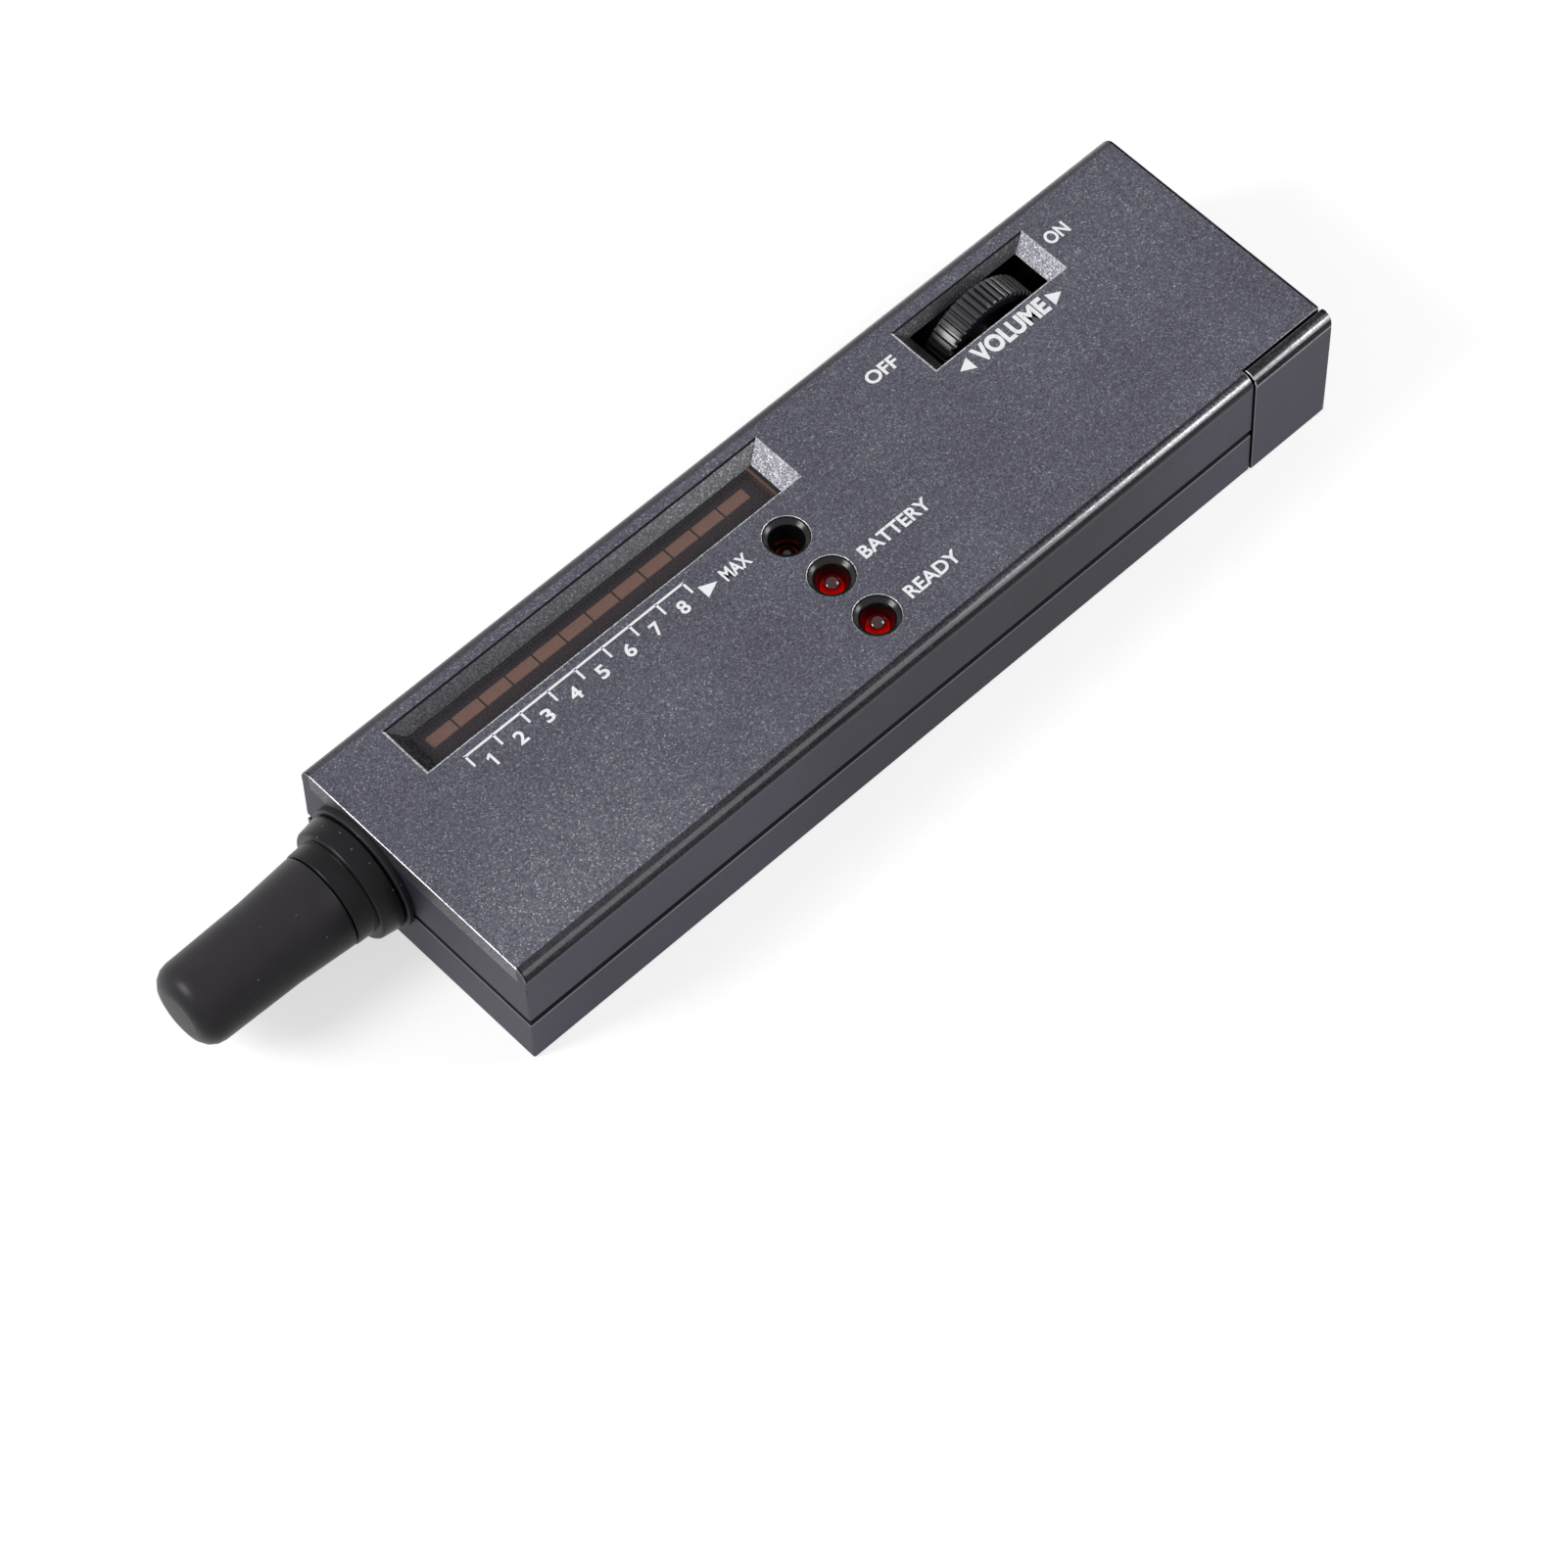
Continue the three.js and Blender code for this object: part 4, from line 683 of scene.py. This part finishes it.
def outside(x, y, z, faces, reach):
    """True for a face that the spray of paint reaches, by its middle and its normal."""
    front, rear, side = reach
    side_skin, end_skin = 0.62, 0.3
    on_side = abs(y) > side - side_skin and faces.y * y > 0 and abs(faces.z) < 0.95
    on_front = x < front + end_skin and faces.x < -0.2
    on_rear = x > rear - end_skin and faces.x > 0.2
    on_top = z > recess_floor + level and faces.z > 0.1
    on_foot = z < end_skin and faces.z < -0.1
    return on_side or on_front or on_rear or on_top or on_foot


def broad(face):
    """True for a face that is wider than the facets of any rounding."""
    widest_facet = 0.9
    longest = max(edge.calc_length() for edge in face.edges)
    return face.calc_area() > widest_facet * MM * longest


def painted(name, reach, groups, cuts=()):
    """A shell with rounded edges. Its paint reaches the skin at the front, rear and sides."""
    shape = whole_faces(name, cuts)
    counts = [
        round_edges(shape, width, wanted, 1 if slot == BARE_AND_SHADE else 2, slot, clamp=False)
        for width, slot, wanted in groups
    ]
    low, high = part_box(name)
    for vert in shape.verts:
        vert.co = Vector(sorted(trio)[1] for trio in zip(low, vert.co, high))
    bmesh.ops.dissolve_degenerate(shape, dist=same_point, edges=shape.edges)
    for face in shape.faces:
        face.material_index = finish_of(face, name, reach)
    smooth = [not broad(face) for face in shape.faces]
    piece = add(name + "_painted", shape)
    piece.data.polygons.foreach_set("use_smooth", smooth)
    for finish in ("shell_paint", "shell_inside", "shell_edge_highlight"):
        piece.data.materials.append(finishes[finish].material)
    print(name, "edges rounded:", counts, "flat faces:", len(smooth) - sum(smooth))
    return give(piece, "shell_paint", body_of[name], [name])


def finish_of(face, name, reach):
    """Which of the three finishes a face has, once the edges are rounded."""
    x, y, z = face.calc_center_median() / MM
    faces = face.normal
    # painted shade: the round on each recess's far rim is bare black
    shaded_far_rim = face.material_index == PAINTED_HIGHLIGHT and z > 20.05 and 17.15 < y < recess_far
    if shaded_far_rim or not outside(x, y, z, faces, reach):
        return BARE_AND_SHADE
    # painted highlight lines on the cover: along its side below the lip, and on its rear corners
    lip_highlight_line = abs(y) > 21.2 and front_round < z < 18.8
    corner_highlight = x > 85 and 0.97 < abs(faces.y) < 0.998 and abs(faces.z) < 0.1
    if name == "battery_cover" and (lip_highlight_line or corner_highlight):
        return PAINTED_HIGHLIGHT
    return face.material_index


def near_top(low, high):
    return low.z > plate_top - level


def in_recess(low, high):
    x, y, z = (low + high) / 2
    along = window_box[0].x - 3 < x < wheel_box[1].x + 4
    return along and z > recess_floor - 0.05 and recess_near < y < recess_far


def recess_rim(low, high):
    return in_recess(low, high) and near_top(low, high)


def recess_foot(low, high):
    """The lower edges of the far slopes and of the slopes towards the battery."""
    x, y, z = (low + high) / 2
    on_floor = recess_floor - level < low.z and high.z < recess_floor + level
    ends = window_box[1].x - 1, wheel_box[1].x + 0.55
    at_end = any(abs(x - end) < 0.2 for end in ends)
    return on_floor and in_recess(low, high) and (y > far_slope or at_end)


def at_front(low, high):
    x, y, z = (low + high) / 2
    return high.x < skin_low.x + 0.01 and (abs(y) > 19 or z > 18 or z < 0.6)


def at_top_front(low, high):
    return at_front(low, high) and (low.z + high.z) / 2 > front_round


def at_low_front(low, high):
    return at_front(low, high) and not at_top_front(low, high)


def on_skin(low, high):
    x, y, z = (low + high) / 2
    return abs(y) > 21 or x < skin_low.x + 0.1


def at_parting(low, high):
    """The upper outer edge of the lower shell."""
    return parting_top - 1 < low.z and high.z < parting_top + 0.1 and on_skin(low, high)


def below_parting(low, high):
    """The lower edge of the dark chamfer that the first round on the parting leaves."""
    return at_parting(low, high) and (low.z + high.z) / 2 < parting_top - 0.1


def above_parting(low, high):
    """The lower outer edge of the upper shell."""
    foot = parting_top + parting_gap
    return foot - 0.05 < low.z and high.z < foot + 0.05 and on_skin(low, high)


def lamp_rim(low, high):
    x, y, z = (low + high) / 2
    return near_top(low, high) and 8 < x < 16 and -17 < y < 7.6


def beside_seam(low, high):
    """Outer edges of the shells and of the cover, on both sides of the line between."""
    x, y, z = (low + high) / 2
    seam = cover_box[0].x
    at_seam = seam - 0.4 < low.x and high.x < seam + level
    return at_seam and (abs(y) > 20.9 or z > 19.7 or z < 0.4)


def beside_lip(low, high):
    """The line between the top plate and the cover's rounded lip."""
    x, y, z = (low + high) / 2
    return x > cover_box[0].x and near_top(low, high) and lip_outer < y < lip_inner


def at_rear(low, high):
    x, y, z = (low + high) / 2
    at_end = x > cover_box[1].x - 1.2 and (z < 0.1 or z > cover_round)
    return at_end and not beside_lip(low, high)


front, rear, never = skin_low.x, cover_box[1].x, math.inf
through_recesses, through_lamps = ((0, 1, 0), 13.2), ((1, 0, 0), 11.93)
# painted shade: the round on the plate's rear edge is bare black
painted("top_shell", (front, rear - 0.2, shell_side), [
    (0.18, PAINTED_HIGHLIGHT, recess_rim), (0.1, PAINTED_HIGHLIGHT, recess_foot), (0.08, PAINTED_HIGHLIGHT, lamp_rim),
    (0.11, PAINTED_HIGHLIGHT, at_top_front), (0.25, PLAIN, at_low_front), (0.1, PAINTED_HIGHLIGHT, beside_seam),
    (0.12, PAINTED_HIGHLIGHT, beside_lip), (0.12, BARE_AND_SHADE, at_rear), (0.12, PAINTED_HIGHLIGHT, above_parting),
], (through_recesses, through_lamps))
painted("bottom_shell", (front, never, shell_side), [
    (0.8, BARE_AND_SHADE, at_parting), (0.12, PAINTED_HIGHLIGHT, below_parting), (0.25, PLAIN, at_front),
    (0.1, PAINTED_HIGHLIGHT, beside_seam),
])
painted("battery_cover", (-never, rear, cover_box[1].y), [
    (0.1, PAINTED_HIGHLIGHT, beside_seam), (0.16, BARE_AND_SHADE, beside_lip), (0.15, PLAIN, at_rear),
])

# %% [markdown]
# Turned parts are drawn as half a section and swept round an axis, as on a lathe. The
# packed ones have a few dozen flats, which show against the light, so the parts in view
# are turned again in ninety-six steps. The corners of a section are rounded before it is
# swept: a fillet between two straight lines is an arc that touches both.

# %% Turning on the lathe


def filleted(section, steps=4):
    """Rounds the corners of a section. Each point is radius, place and its fillet."""
    points = []
    for i, (radius, along, fillet) in enumerate(section):
        here = Vector((radius, along))
        before = Vector(section[i - 1][:2])
        after = Vector(section[(i + 1) % len(section)][:2])
        back, on = (before - here).normalized(), (after - here).normalized()
        half_angle = back.angle(on) / 2 if fillet else 0
        if not fillet or math.pi / 2 - half_angle < 0.01:
            points.append(here)
            continue
        reach = fillet / math.tan(half_angle)
        centre = here + (back + on).normalized() * fillet / math.sin(half_angle)
        start, end = here + back * reach - centre, here + on * reach - centre
        for step in range(steps + 1):
            share = step / steps
            points.append(centre + (start.slerp(end, share)).normalized() * fillet)
    return points


def skin(shape, rings):
    """Faces from each ring of points to the next, and from the last one to the first."""
    for first, second in zip(rings, rings[1:] + rings[:1]):
        count = max(len(first), len(second))
        if count == 1:
            continue
        for step in range(count):
            corners = []
            for ring, offset in ((first, 0), (first, 1), (second, 1), (second, 0)):
                vert = ring[(step + offset) % len(ring)]
                if vert not in corners:
                    corners.append(vert)
            shape.faces.new(corners)


def swept(points, axis, centre, steps=96):
    """The bmesh of a closed section of (radius, place) points swept round an axis."""
    shape = bmesh.new()
    rings = []
    for radius, along in points:
        turns = range(1 if radius < 1e-6 else steps)
        ring = []
        for step in turns:
            angle = 2 * math.pi * step / steps
            u, v = radius * math.cos(angle) + centre[0], radius * math.sin(angle) + centre[1]
            place = {"x": (along, u, v), "y": (u, along, v), "z": (u, v, along)}[axis]
            ring.append(shape.verts.new(Vector(place) * MM))
        rings.append(ring)
    skin(shape, rings)
    return shape


def turned(name, section, axis, centre, slot, body, replaced):
    piece = add(name, swept(filleted(section), axis, centre))
    return give(piece, slot, body, replaced)


print("lathe ready")

# %% [markdown]
# The nose is a stack of turned parts on one axis: a thin flange against the housing, a
# first ring, a neck, and the black barrel that holds the sprung copper point. The cap
# grips the barrel's shoulder. It is hollow, because it can be pulled off, and its end is
# as round as a fingertip.

# %% Nose, probe and cap
face = skin_low.x
gasket_box = box_of("nose_gasket")
nose_axis = ((gasket_box[0] + gasket_box[1]) / 2).yz


def on_nose(name, slot, body, node, section):
    """A turned part. Each point is radius, distance out from the front face, and fillet."""
    section = [(radius, face - out, fillet) for radius, out, fillet in section]
    turned(name, section, "x", nose_axis, slot, body, [node])


flange_radius, flange_bore, flange_depth = (gasket_box[1].z - gasket_box[0].z) / 2, 7.4, 1
on_nose("nose_flange", "cap_rubber", "housing", "nose_gasket", [
    (flange_bore, 0, 0), (flange_radius, 0, 0.1),
    (flange_radius, flange_depth, 0.25), (flange_bore, flange_depth, 0),
])

on_nose("nose_rings", "black_plastic", "housing", "nose_collar", [
    (4.5, -3.4, 0), (8.55, -3.4, 0.2), (8.55, -1.9, 0.2), (7.2, -1.9, 0), (7.2, 1.1, 0),
    (8.9, 1.1, 0.35), (8.4, 4.5, 0.5), (7.2, 4.5, 0.12), (7.08, 7.45, 0.35), (4.5, 7.45, 0.1),
])

barrel_mouth = face - box_of("probe_barrel")[0].x
on_nose("barrel", "black_plastic", "housing", "probe_barrel", [
    (2.6, -8, 0), (4.35, -8, 0.2), (4.35, 7.55, 0.1), (5.55, 7.55, 0.2), (5.23, 12.15, 0.3),
    (4.88, 12.5, 0.3), (2.2, barrel_mouth - 0.3, 0.25), (1.9, barrel_mouth, 0.1),
    (0.95, barrel_mouth, 0.1), (0.95, barrel_mouth - 10.6, 0), (2.6, barrel_mouth - 10.6, 0),
])

point_end = face - box_of("probe_tip")[0].x
collar_front = barrel_mouth - 10.7
on_nose("copper_point", "probe_copper", "tip", "probe_tip", [
    (0, collar_front - 1.2, 0), (2.2, collar_front - 1.2, 0.15), (2.2, collar_front, 0.15),
    (0.8, collar_front, 0), (0.8, point_end - 1.5, 0.3), (0.22, point_end, 0.1),
    (0, point_end, 0),
])

cap_end, cap_mouth = (face - corner.x for corner in box_of("probe_cap"))
on_nose("soft_cap", "cap_rubber", "nose_cap", "probe_cap", [
    (0, cap_end - 1.25, 0), (4.8, cap_end - 1.25, 2.4), (5.1, cap_mouth + 8.7, 4),
    (5.7, cap_mouth, 0.15), (6.95, cap_mouth, 0.3), (6.35, cap_mouth + 8.7, 6),
    (6.07, cap_end - 0.35, 2.9), (3.1, cap_end - 0.09, 3), (0, cap_end, 0),
])
print("nose from", round(cap_end, 2), "mm before the front face")

# %% [markdown]
# Each signal lamp is a three millimetre lamp in a polished black cup. The cup is a cone
# that widens towards the plate and ends just below it, so a thin dark line shows round
# it. The lamp is a rod with a dome for a lens, a wider foot and two legs into the board.
# The first lamp sits deeper than the others, and is amber.

# %% Lamp cups and signal lamps


def box_in(shape, middle, size):
    """Adds a plain box to a bmesh, in millimetres."""
    matrix = Matrix.Translation(Vector(middle) * MM) @ Matrix.Diagonal((*Vector(size) * MM, 1))
    bmesh.ops.create_cube(shape, size=1, matrix=matrix)


def lamp_cup(index):
    low, high = box_of(f"lamp_cup_{index}")
    centre = ((low + high) / 2).xy
    top, foot = high.z, high.z - 2.7
    section = [
        (1.75, foot, 0.1), (2.35, top - 0.58, 0.8), (3.01, top - 0.15, 0.06),
        (3.01, top, 0.03), (3.13, top, 0.05), (3.13, top - 1.25, 0),
        (4.0, top - 1.25, 0.1), (4.0, top - 2.15, 0.1), (2.5, top - 2.15, 0),
        (2.5, low.z, 0.1), (1.75, low.z, 0.1),
    ]
    cup = turned(
        f"cup_{index}", section, "z", centre, "gloss_black", "housing", [f"lamp_cup_{index}"]
    )
    keep_flats_flat(cup)


def signal_lamp(index):
    name = f"signal_lamp_{index}"
    low, high = box_of(name)
    x, y = ((low + high) / 2).xy
    radius, foot_radius, leg_width, leg_offset = 1.55, 1.9, 0.5, 1.27
    top, foot = high.z, high.z - 4.6
    rounds = 14
    turns = [math.pi / 2 * step / rounds for step in range(rounds + 1)]
    dome = [
        (radius * math.cos(turn), top - radius + radius * math.sin(turn), 0) for turn in turns
    ]
    dome[-1] = (0, top, 0)
    section = [
        (0, foot - 1, 0), (foot_radius, foot - 1, 0.1), (foot_radius, foot, 0.15),
        (radius, foot, 0.1), *dome,
    ]
    shape = swept(filleted(section), "z", (x, y), 48)
    leg_top = foot - 0.5
    for leg in (y - leg_offset, y + leg_offset):
        leg_size = (leg_width, leg_width, leg_top - low.z)
        box_in(shape, (x, leg, (low.z + leg_top) / 2), leg_size)
    give(add(f"lens_{index}", shape), slot_of[name], "housing", [name])


for index in (1, 2, 3):
    lamp_cup(index)
    signal_lamp(index)
print("cups and lamps turned")

# %% [markdown]
# The wheel's rim is a ring of broad flat ribs, with narrow grooves between them, and the
# ribs' ends are chamfered. It is swept like a turned part, but the rim's radius goes in
# and out with the angle. Nine unevenly spaced angles in each pitch are enough to draw a
# flat crest, two short flanks and a flat groove, so the ribs are real and their edges
# glint one by one.

# %% Thumbwheel
wheel_low, wheel_high = wheel_box
wheel_centre = (wheel_low + wheel_high) / 2
wheel_radius = (wheel_high.z - wheel_low.z) / 2
ribs = 52
rib_depth = 0.45
rib_shape = [
    (-0.5, 0), (-0.37, 0), (-0.32, 0.15), (-0.275, 0.82), (-0.23, 1),
    (0.23, 1), (0.275, 0.82), (0.32, 0.15), (0.37, 0),
]


def rim_ring(inset, relief):
    """Radius and angle round the rim, some way below the crests and with shallow ribs."""
    ring = []
    for rib in range(ribs):
        for share, rise in rib_shape:
            angle = 2 * math.pi * (rib + share) / ribs
            radius = wheel_radius - inset - rib_depth * (1 - rise) * relief
            ring.append((radius, angle))
    return ring


def plain_ring(radius):
    return [(radius, angle) for _, angle in rim_ring(0, 1)]


def thumb_wheel():
    near, far = wheel_low.y, wheel_high.y
    bore, hub, web_depth, wall = 1.6, 3, 1.1, wheel_radius - 1.7
    inner = [
        (bore, 1.4), (2.1, 1.4), (2.1, 0.08), (2.18, 0), (2.9, 0), (hub, 0.1),
        (hub, web_depth), (wall, web_depth), (wall, 0.1), (wall + 0.1, 0),
    ]
    # how far in, how deep the ribs and how far from the end, from the end to the full rim
    rim = [(0.34, 0.4, 0), (0.18, 0.8, 0.06), (0.05, 1, 0.18), (0, 1, 0.34)]
    rings = [(plain_ring(radius), near + depth) for radius, depth in inner]
    rings += [(rim_ring(inset, relief), near + depth) for inset, relief, depth in rim]
    rings += [(rim_ring(inset, relief), far - depth) for inset, relief, depth in rim[::-1]]
    rings.append((plain_ring(bore), far))
    shape = bmesh.new()
    made = []
    for ring, y in rings:
        verts = []
        for radius, angle in ring:
            x = wheel_centre.x + radius * math.cos(angle)
            z = wheel_centre.z + radius * math.sin(angle)
            verts.append(shape.verts.new(Vector((x, y, z)) * MM))
        made.append(verts)
    skin(shape, made)
    piece = add("ribbed_wheel", shape)
    piece.data.materials.append(finishes["wheel_plastic"].material)
    return give(piece, "black_plastic", "wheel", ["thumb_wheel"])


wheel = thumb_wheel()
print("wheel:", len(wheel.data.polygons), "faces,", ribs, "ribs")

# %% [markdown]
# The other pieces that can be seen, through the window, in the screw pockets or with the
# cover off, only need their edges softened. The narrower the piece, the narrower the
# round.

# %% Small softened pieces
soft_widths = {
    "battery_pad": 0.15, "battery": 0.25, "battery_snap": 0.12, "circuit_board": 0.1,
    "driver_chip": 0.1, "amplifier_chip": 0.1, "trimmer": 0.1, "buzzer": 0.15,
    "volume_control": 0.1, "wheel_shaft": 0.1, "wheel_screw": 0.1, "display_window": 0.05,
}
soft_widths.update({f"bar_led_{number:02d}": 0.1 for number in range(1, 13)})
soft_widths.update({f"housing_screw_{number}": 0.1 for number in range(1, 5)})
for name, width in soft_widths.items():
    softened(name, width)
print("softened:", len(soft_widths))

# %% [markdown]
# The probe's spring stands between the tip and a fixed plug behind it. When the tip is
# pushed in, the real spring gets shorter towards the plug; the copy here keeps its length.

# %% Probe spring


def coil_spring(name, joint):
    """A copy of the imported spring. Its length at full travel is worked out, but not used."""
    joints = frame["record"]["behaviour"]["joints"]
    travel = next(entry["range_m"][1] for entry in joints if entry["name"] == joint)
    low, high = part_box(name)
    shape = bmesh.new()
    shape.from_mesh(nodes[name].data)
    spring = give(add("coil_spring", shape), slot_of[name], body_of[name], [name])
    keep = 1 - travel / (high.x - low.x)
    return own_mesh(spring)


coil_spring("probe_spring", "probe_plunge")

# %% [markdown]
# The marks on the top plate are printed in white: a scale with nine ticks and eight
# numbers, pointers, and plain words for the wheel and the lamps. They are cut as real
# flat shapes that stand a fiftieth of a millimetre above the plate, so they stay crisp at
# any distance. Letters come from a text object that is turned into a mesh.

# %% Printed marks
ink = Finish("print_white", roughness=0.45)
wear_share = ink.noise(0.8, detail=3).within(0.25, 0.55)
ink.wear(base_color=ink.mix(wear_share, tone(236, 238, 243), tone(252, 253, 255)))
ink_foot, ink_top, half_line = plate_top - 0.01, plate_top + 0.02, 0.17


def give_mark(piece):
    piece.data.materials.append(ink.material)
    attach(piece, "housing")
    return piece


def prism(shape, outline):
    """Adds a thin flat shape with that outline, in millimetres, to a bmesh."""
    foot = [shape.verts.new(Vector((x, y, ink_foot)) * MM) for x, y in outline]
    top = [shape.verts.new(Vector((x, y, ink_top)) * MM) for x, y in outline]
    shape.faces.new(foot[::-1])
    shape.faces.new(top)
    for i in range(len(outline)):
        k = (i + 1) % len(outline)
        shape.faces.new((foot[i], foot[k], top[k], top[i]))


def stroke(shape, left, right, foot, top):
    left, right = left - half_line, right + half_line
    prism(shape, [(left, foot), (right, foot), (right, top), (left, top)])


def pointer(shape, base, point, y, half_height):
    prism(shape, sorted([(base, y - half_height), (point, y), (base, y + half_height)])[::-1])


def words(name, text, left, right, baseline, cap_height, boldness):
    """Letters between two places along X, standing on a line along Y."""
    curve = bpy.data.curves.new(name, "FONT")
    curve.body = text
    curve.size = 1
    curve.extrude = (ink_top - ink_foot) / 2 * MM
    curve.offset = boldness
    curve.resolution_u = 4
    written = bpy.data.objects.new(name + "_text", curve)
    bpy.context.scene.collection.objects.link(written)
    bpy.context.view_layer.update()
    evaluated = written.evaluated_get(bpy.context.evaluated_depsgraph_get())
    mesh = bpy.data.meshes.new_from_object(evaluated)
    bpy.data.objects.remove(written)
    xs, ys, _ = zip(*(vert.co for vert in mesh.vertices))
    across = (right - left) / (max(xs) - min(xs))
    up = cap_height / (max(ys) - min(ys))
    for vert in mesh.vertices:
        x = left + (vert.co.x - min(xs)) * across
        y = baseline + (vert.co.y - min(ys)) * up
        z = (ink_top + ink_foot) / 2 + vert.co.z / MM
        vert.co = Vector((x, y, z)) * MM
    piece = bpy.data.objects.new(name, mesh)
    bpy.context.scene.collection.objects.link(piece)
    mesh.materials.clear()
    return give_mark(piece)


scale_marks = bmesh.new()
line_y, tick_foot = 7.85, 5.91
first_tick, tick_pitch, gaps = -40.13, 4.686, 8
last_tick = first_tick + gaps * tick_pitch
stroke(scale_marks, first_tick, last_tick, line_y - half_line, line_y + half_line)
for tick in range(gaps + 1):
    x = first_tick + tick * tick_pitch
    stroke(scale_marks, x, x, tick_foot, line_y)
for base, point, y, half_height in (
    (-1.65, 0.8, 5.0, 1.08), (48.25, 46.15, 6.77, 1.14), (62.75, 64.8, 6.77, 1.14),
):
    pointer(scale_marks, base, point, y, half_height)

# the figure 1 is drawn, because letters are stretched to a width, and it has a narrow one
digit_foot, digit_height, digit_boldness = 4.06, 2.1, 0.024
digit_top = digit_foot + digit_height
first_digit = first_tick + tick_pitch / 2
stem_left, stem_right = first_digit - 0.12, first_digit + 0.26
prism(scale_marks, [
    (stem_left, digit_foot), (stem_right, digit_foot), (stem_right, digit_top),
    (stem_left + 0.06, digit_top), (stem_left - 0.48, digit_top - 0.42),
    (stem_left - 0.48, digit_top - 0.8), (stem_left, digit_top - 0.5),
])
give_mark(add("scale_marks", scale_marks))

digit_widths = [1.47, 1.47, 1.55, 1.45, 1.45, 1.35, 1.45]
for number, width in enumerate(digit_widths, 2):
    middle = first_tick + (number - 0.5) * tick_pitch - 0.03
    left, right = middle - width / 2, middle + width / 2
    words(f"scale_{number}", str(number), left, right, digit_foot, digit_height, digit_boldness)
for name, text, left, right, baseline, cap_height, boldness in (
    ("scale_end", "MAX", 1.75, 6.2, 3.95, 2.1, 0.026),
    ("switch_off", "OFF", 36.3, 41.55, 13.08, 2.12, 0.026),
    ("switch_on", "ON", 69.2, 72.95, 12.93, 2.15, 0.026),
    ("wheel_label", "VOLUME", 49.15, 62.0, 5.5, 2.88, 0.042),
    ("battery_label", "BATTERY", 16.9, 28.8, -5.9, 2.05, 0.024),
    ("ready_label", "READY", 16.9, 25.9, -14.4, 2.05, 0.024),
):
    words(name, text, left, right, baseline, cap_height, boldness)
print("marks printed up to", round(ink_top, 2), "mm")

# %% [markdown]
# The tester lies on a white sheet in a white room. A large soft lamp stands over its
# front end and a weaker one over its battery end, on the near side. Faces that look
# towards the nose are the brightest, and each lamp leaves its own glint in the round
# cups and lenses. The lamps are kept at a level at which a colour comes out as it is
# written. The sheet gets its white from a little light of its own that only the camera,
# mirrors and glass can see, and so it keeps the shadow.

# %% Floor, room and lamps


def seen_directly(finish):
    """1 for the camera and for what mirrors and glass show, 0 for light on the object."""
    kinds = ("Is Camera Ray", "Is Glossy Ray", "Is Transmission Ray")
    seen, mirrored, through_glass = (
        finish.node("ShaderNodeLightPath", out=kind) for kind in kinds
    )
    return seen.either(mirrored).either(through_glass)


sheet_radius, sheet_sink = 1.6, 0.0002
sheet_shape = bmesh.new()
bmesh.ops.create_circle(sheet_shape, cap_ends=True, segments=96, radius=sheet_radius)
sheet = add("paper_sheet", sheet_shape)
sheet.location.z = -sheet_sink
paper = Finish("paper", base_color=(0.52, 0.52, 0.53), roughness=0.9)
glow = paper.node("ShaderNodeEmission", None, {"Color": (1, 1, 1), "Strength": 0.66})
dark = paper.node("ShaderNodeEmission", None, {"Color": (0, 0, 0), "Strength": 0})
own_light = paper.node("ShaderNodeMixShader", None, {0: seen_directly(paper), 1: dark, 2: glow})
lit = paper.node("ShaderNodeAddShader", None, {0: own_light, 1: Link(paper.shader.outputs[0])})
feed(paper.tree.nodes["Material Output"].inputs["Surface"], lit)
sheet.data.materials.append(paper.material)

world = bpy.data.worlds.new("white_room")
bpy.context.scene.world = world
world.use_nodes = True


class Room(Finish):
    """The world's nodes, with the same helpers as a material."""

    def __init__(self, world):
        self.tree = world.node_tree


background = world.node_tree.nodes["Background"]
feed(background.inputs["Color"], (1, 1, 1))
feed(background.inputs["Strength"], 0.2 + 0.8 * seen_directly(Room(world)))


def soft_lamp(name, place, size, power):
    """A square lamp, in metres and watts, that looks at the middle of the tester."""
    data = bpy.data.lights.new(name, "AREA")
    data.shape = "SQUARE"
    data.size = size
    data.energy = power
    lamp = bpy.data.objects.new(name, data)
    lamp.location = place
    aim = Vector((0, 0, 0.01)) - Vector(place)
    lamp.rotation_euler = aim.to_track_quat("-Z", "Y").to_euler()
    bpy.context.scene.collection.objects.link(lamp)


soft_lamp("front_lamp", (-0.608, 0.264, 0.448), 0.3, 4.6)
soft_lamp("rear_lamp", (0.544, -0.328, 0.488), 0.3, 3.0)
print("room and lamps ready")

# %% [markdown]
# Last, the colour handling is set to show colours as they are, and the dressed model's
# box is written beside the imported one's, so that the two can be compared.

# %% Colour handling and the end
bpy.context.scene.view_settings.view_transform = "Standard"
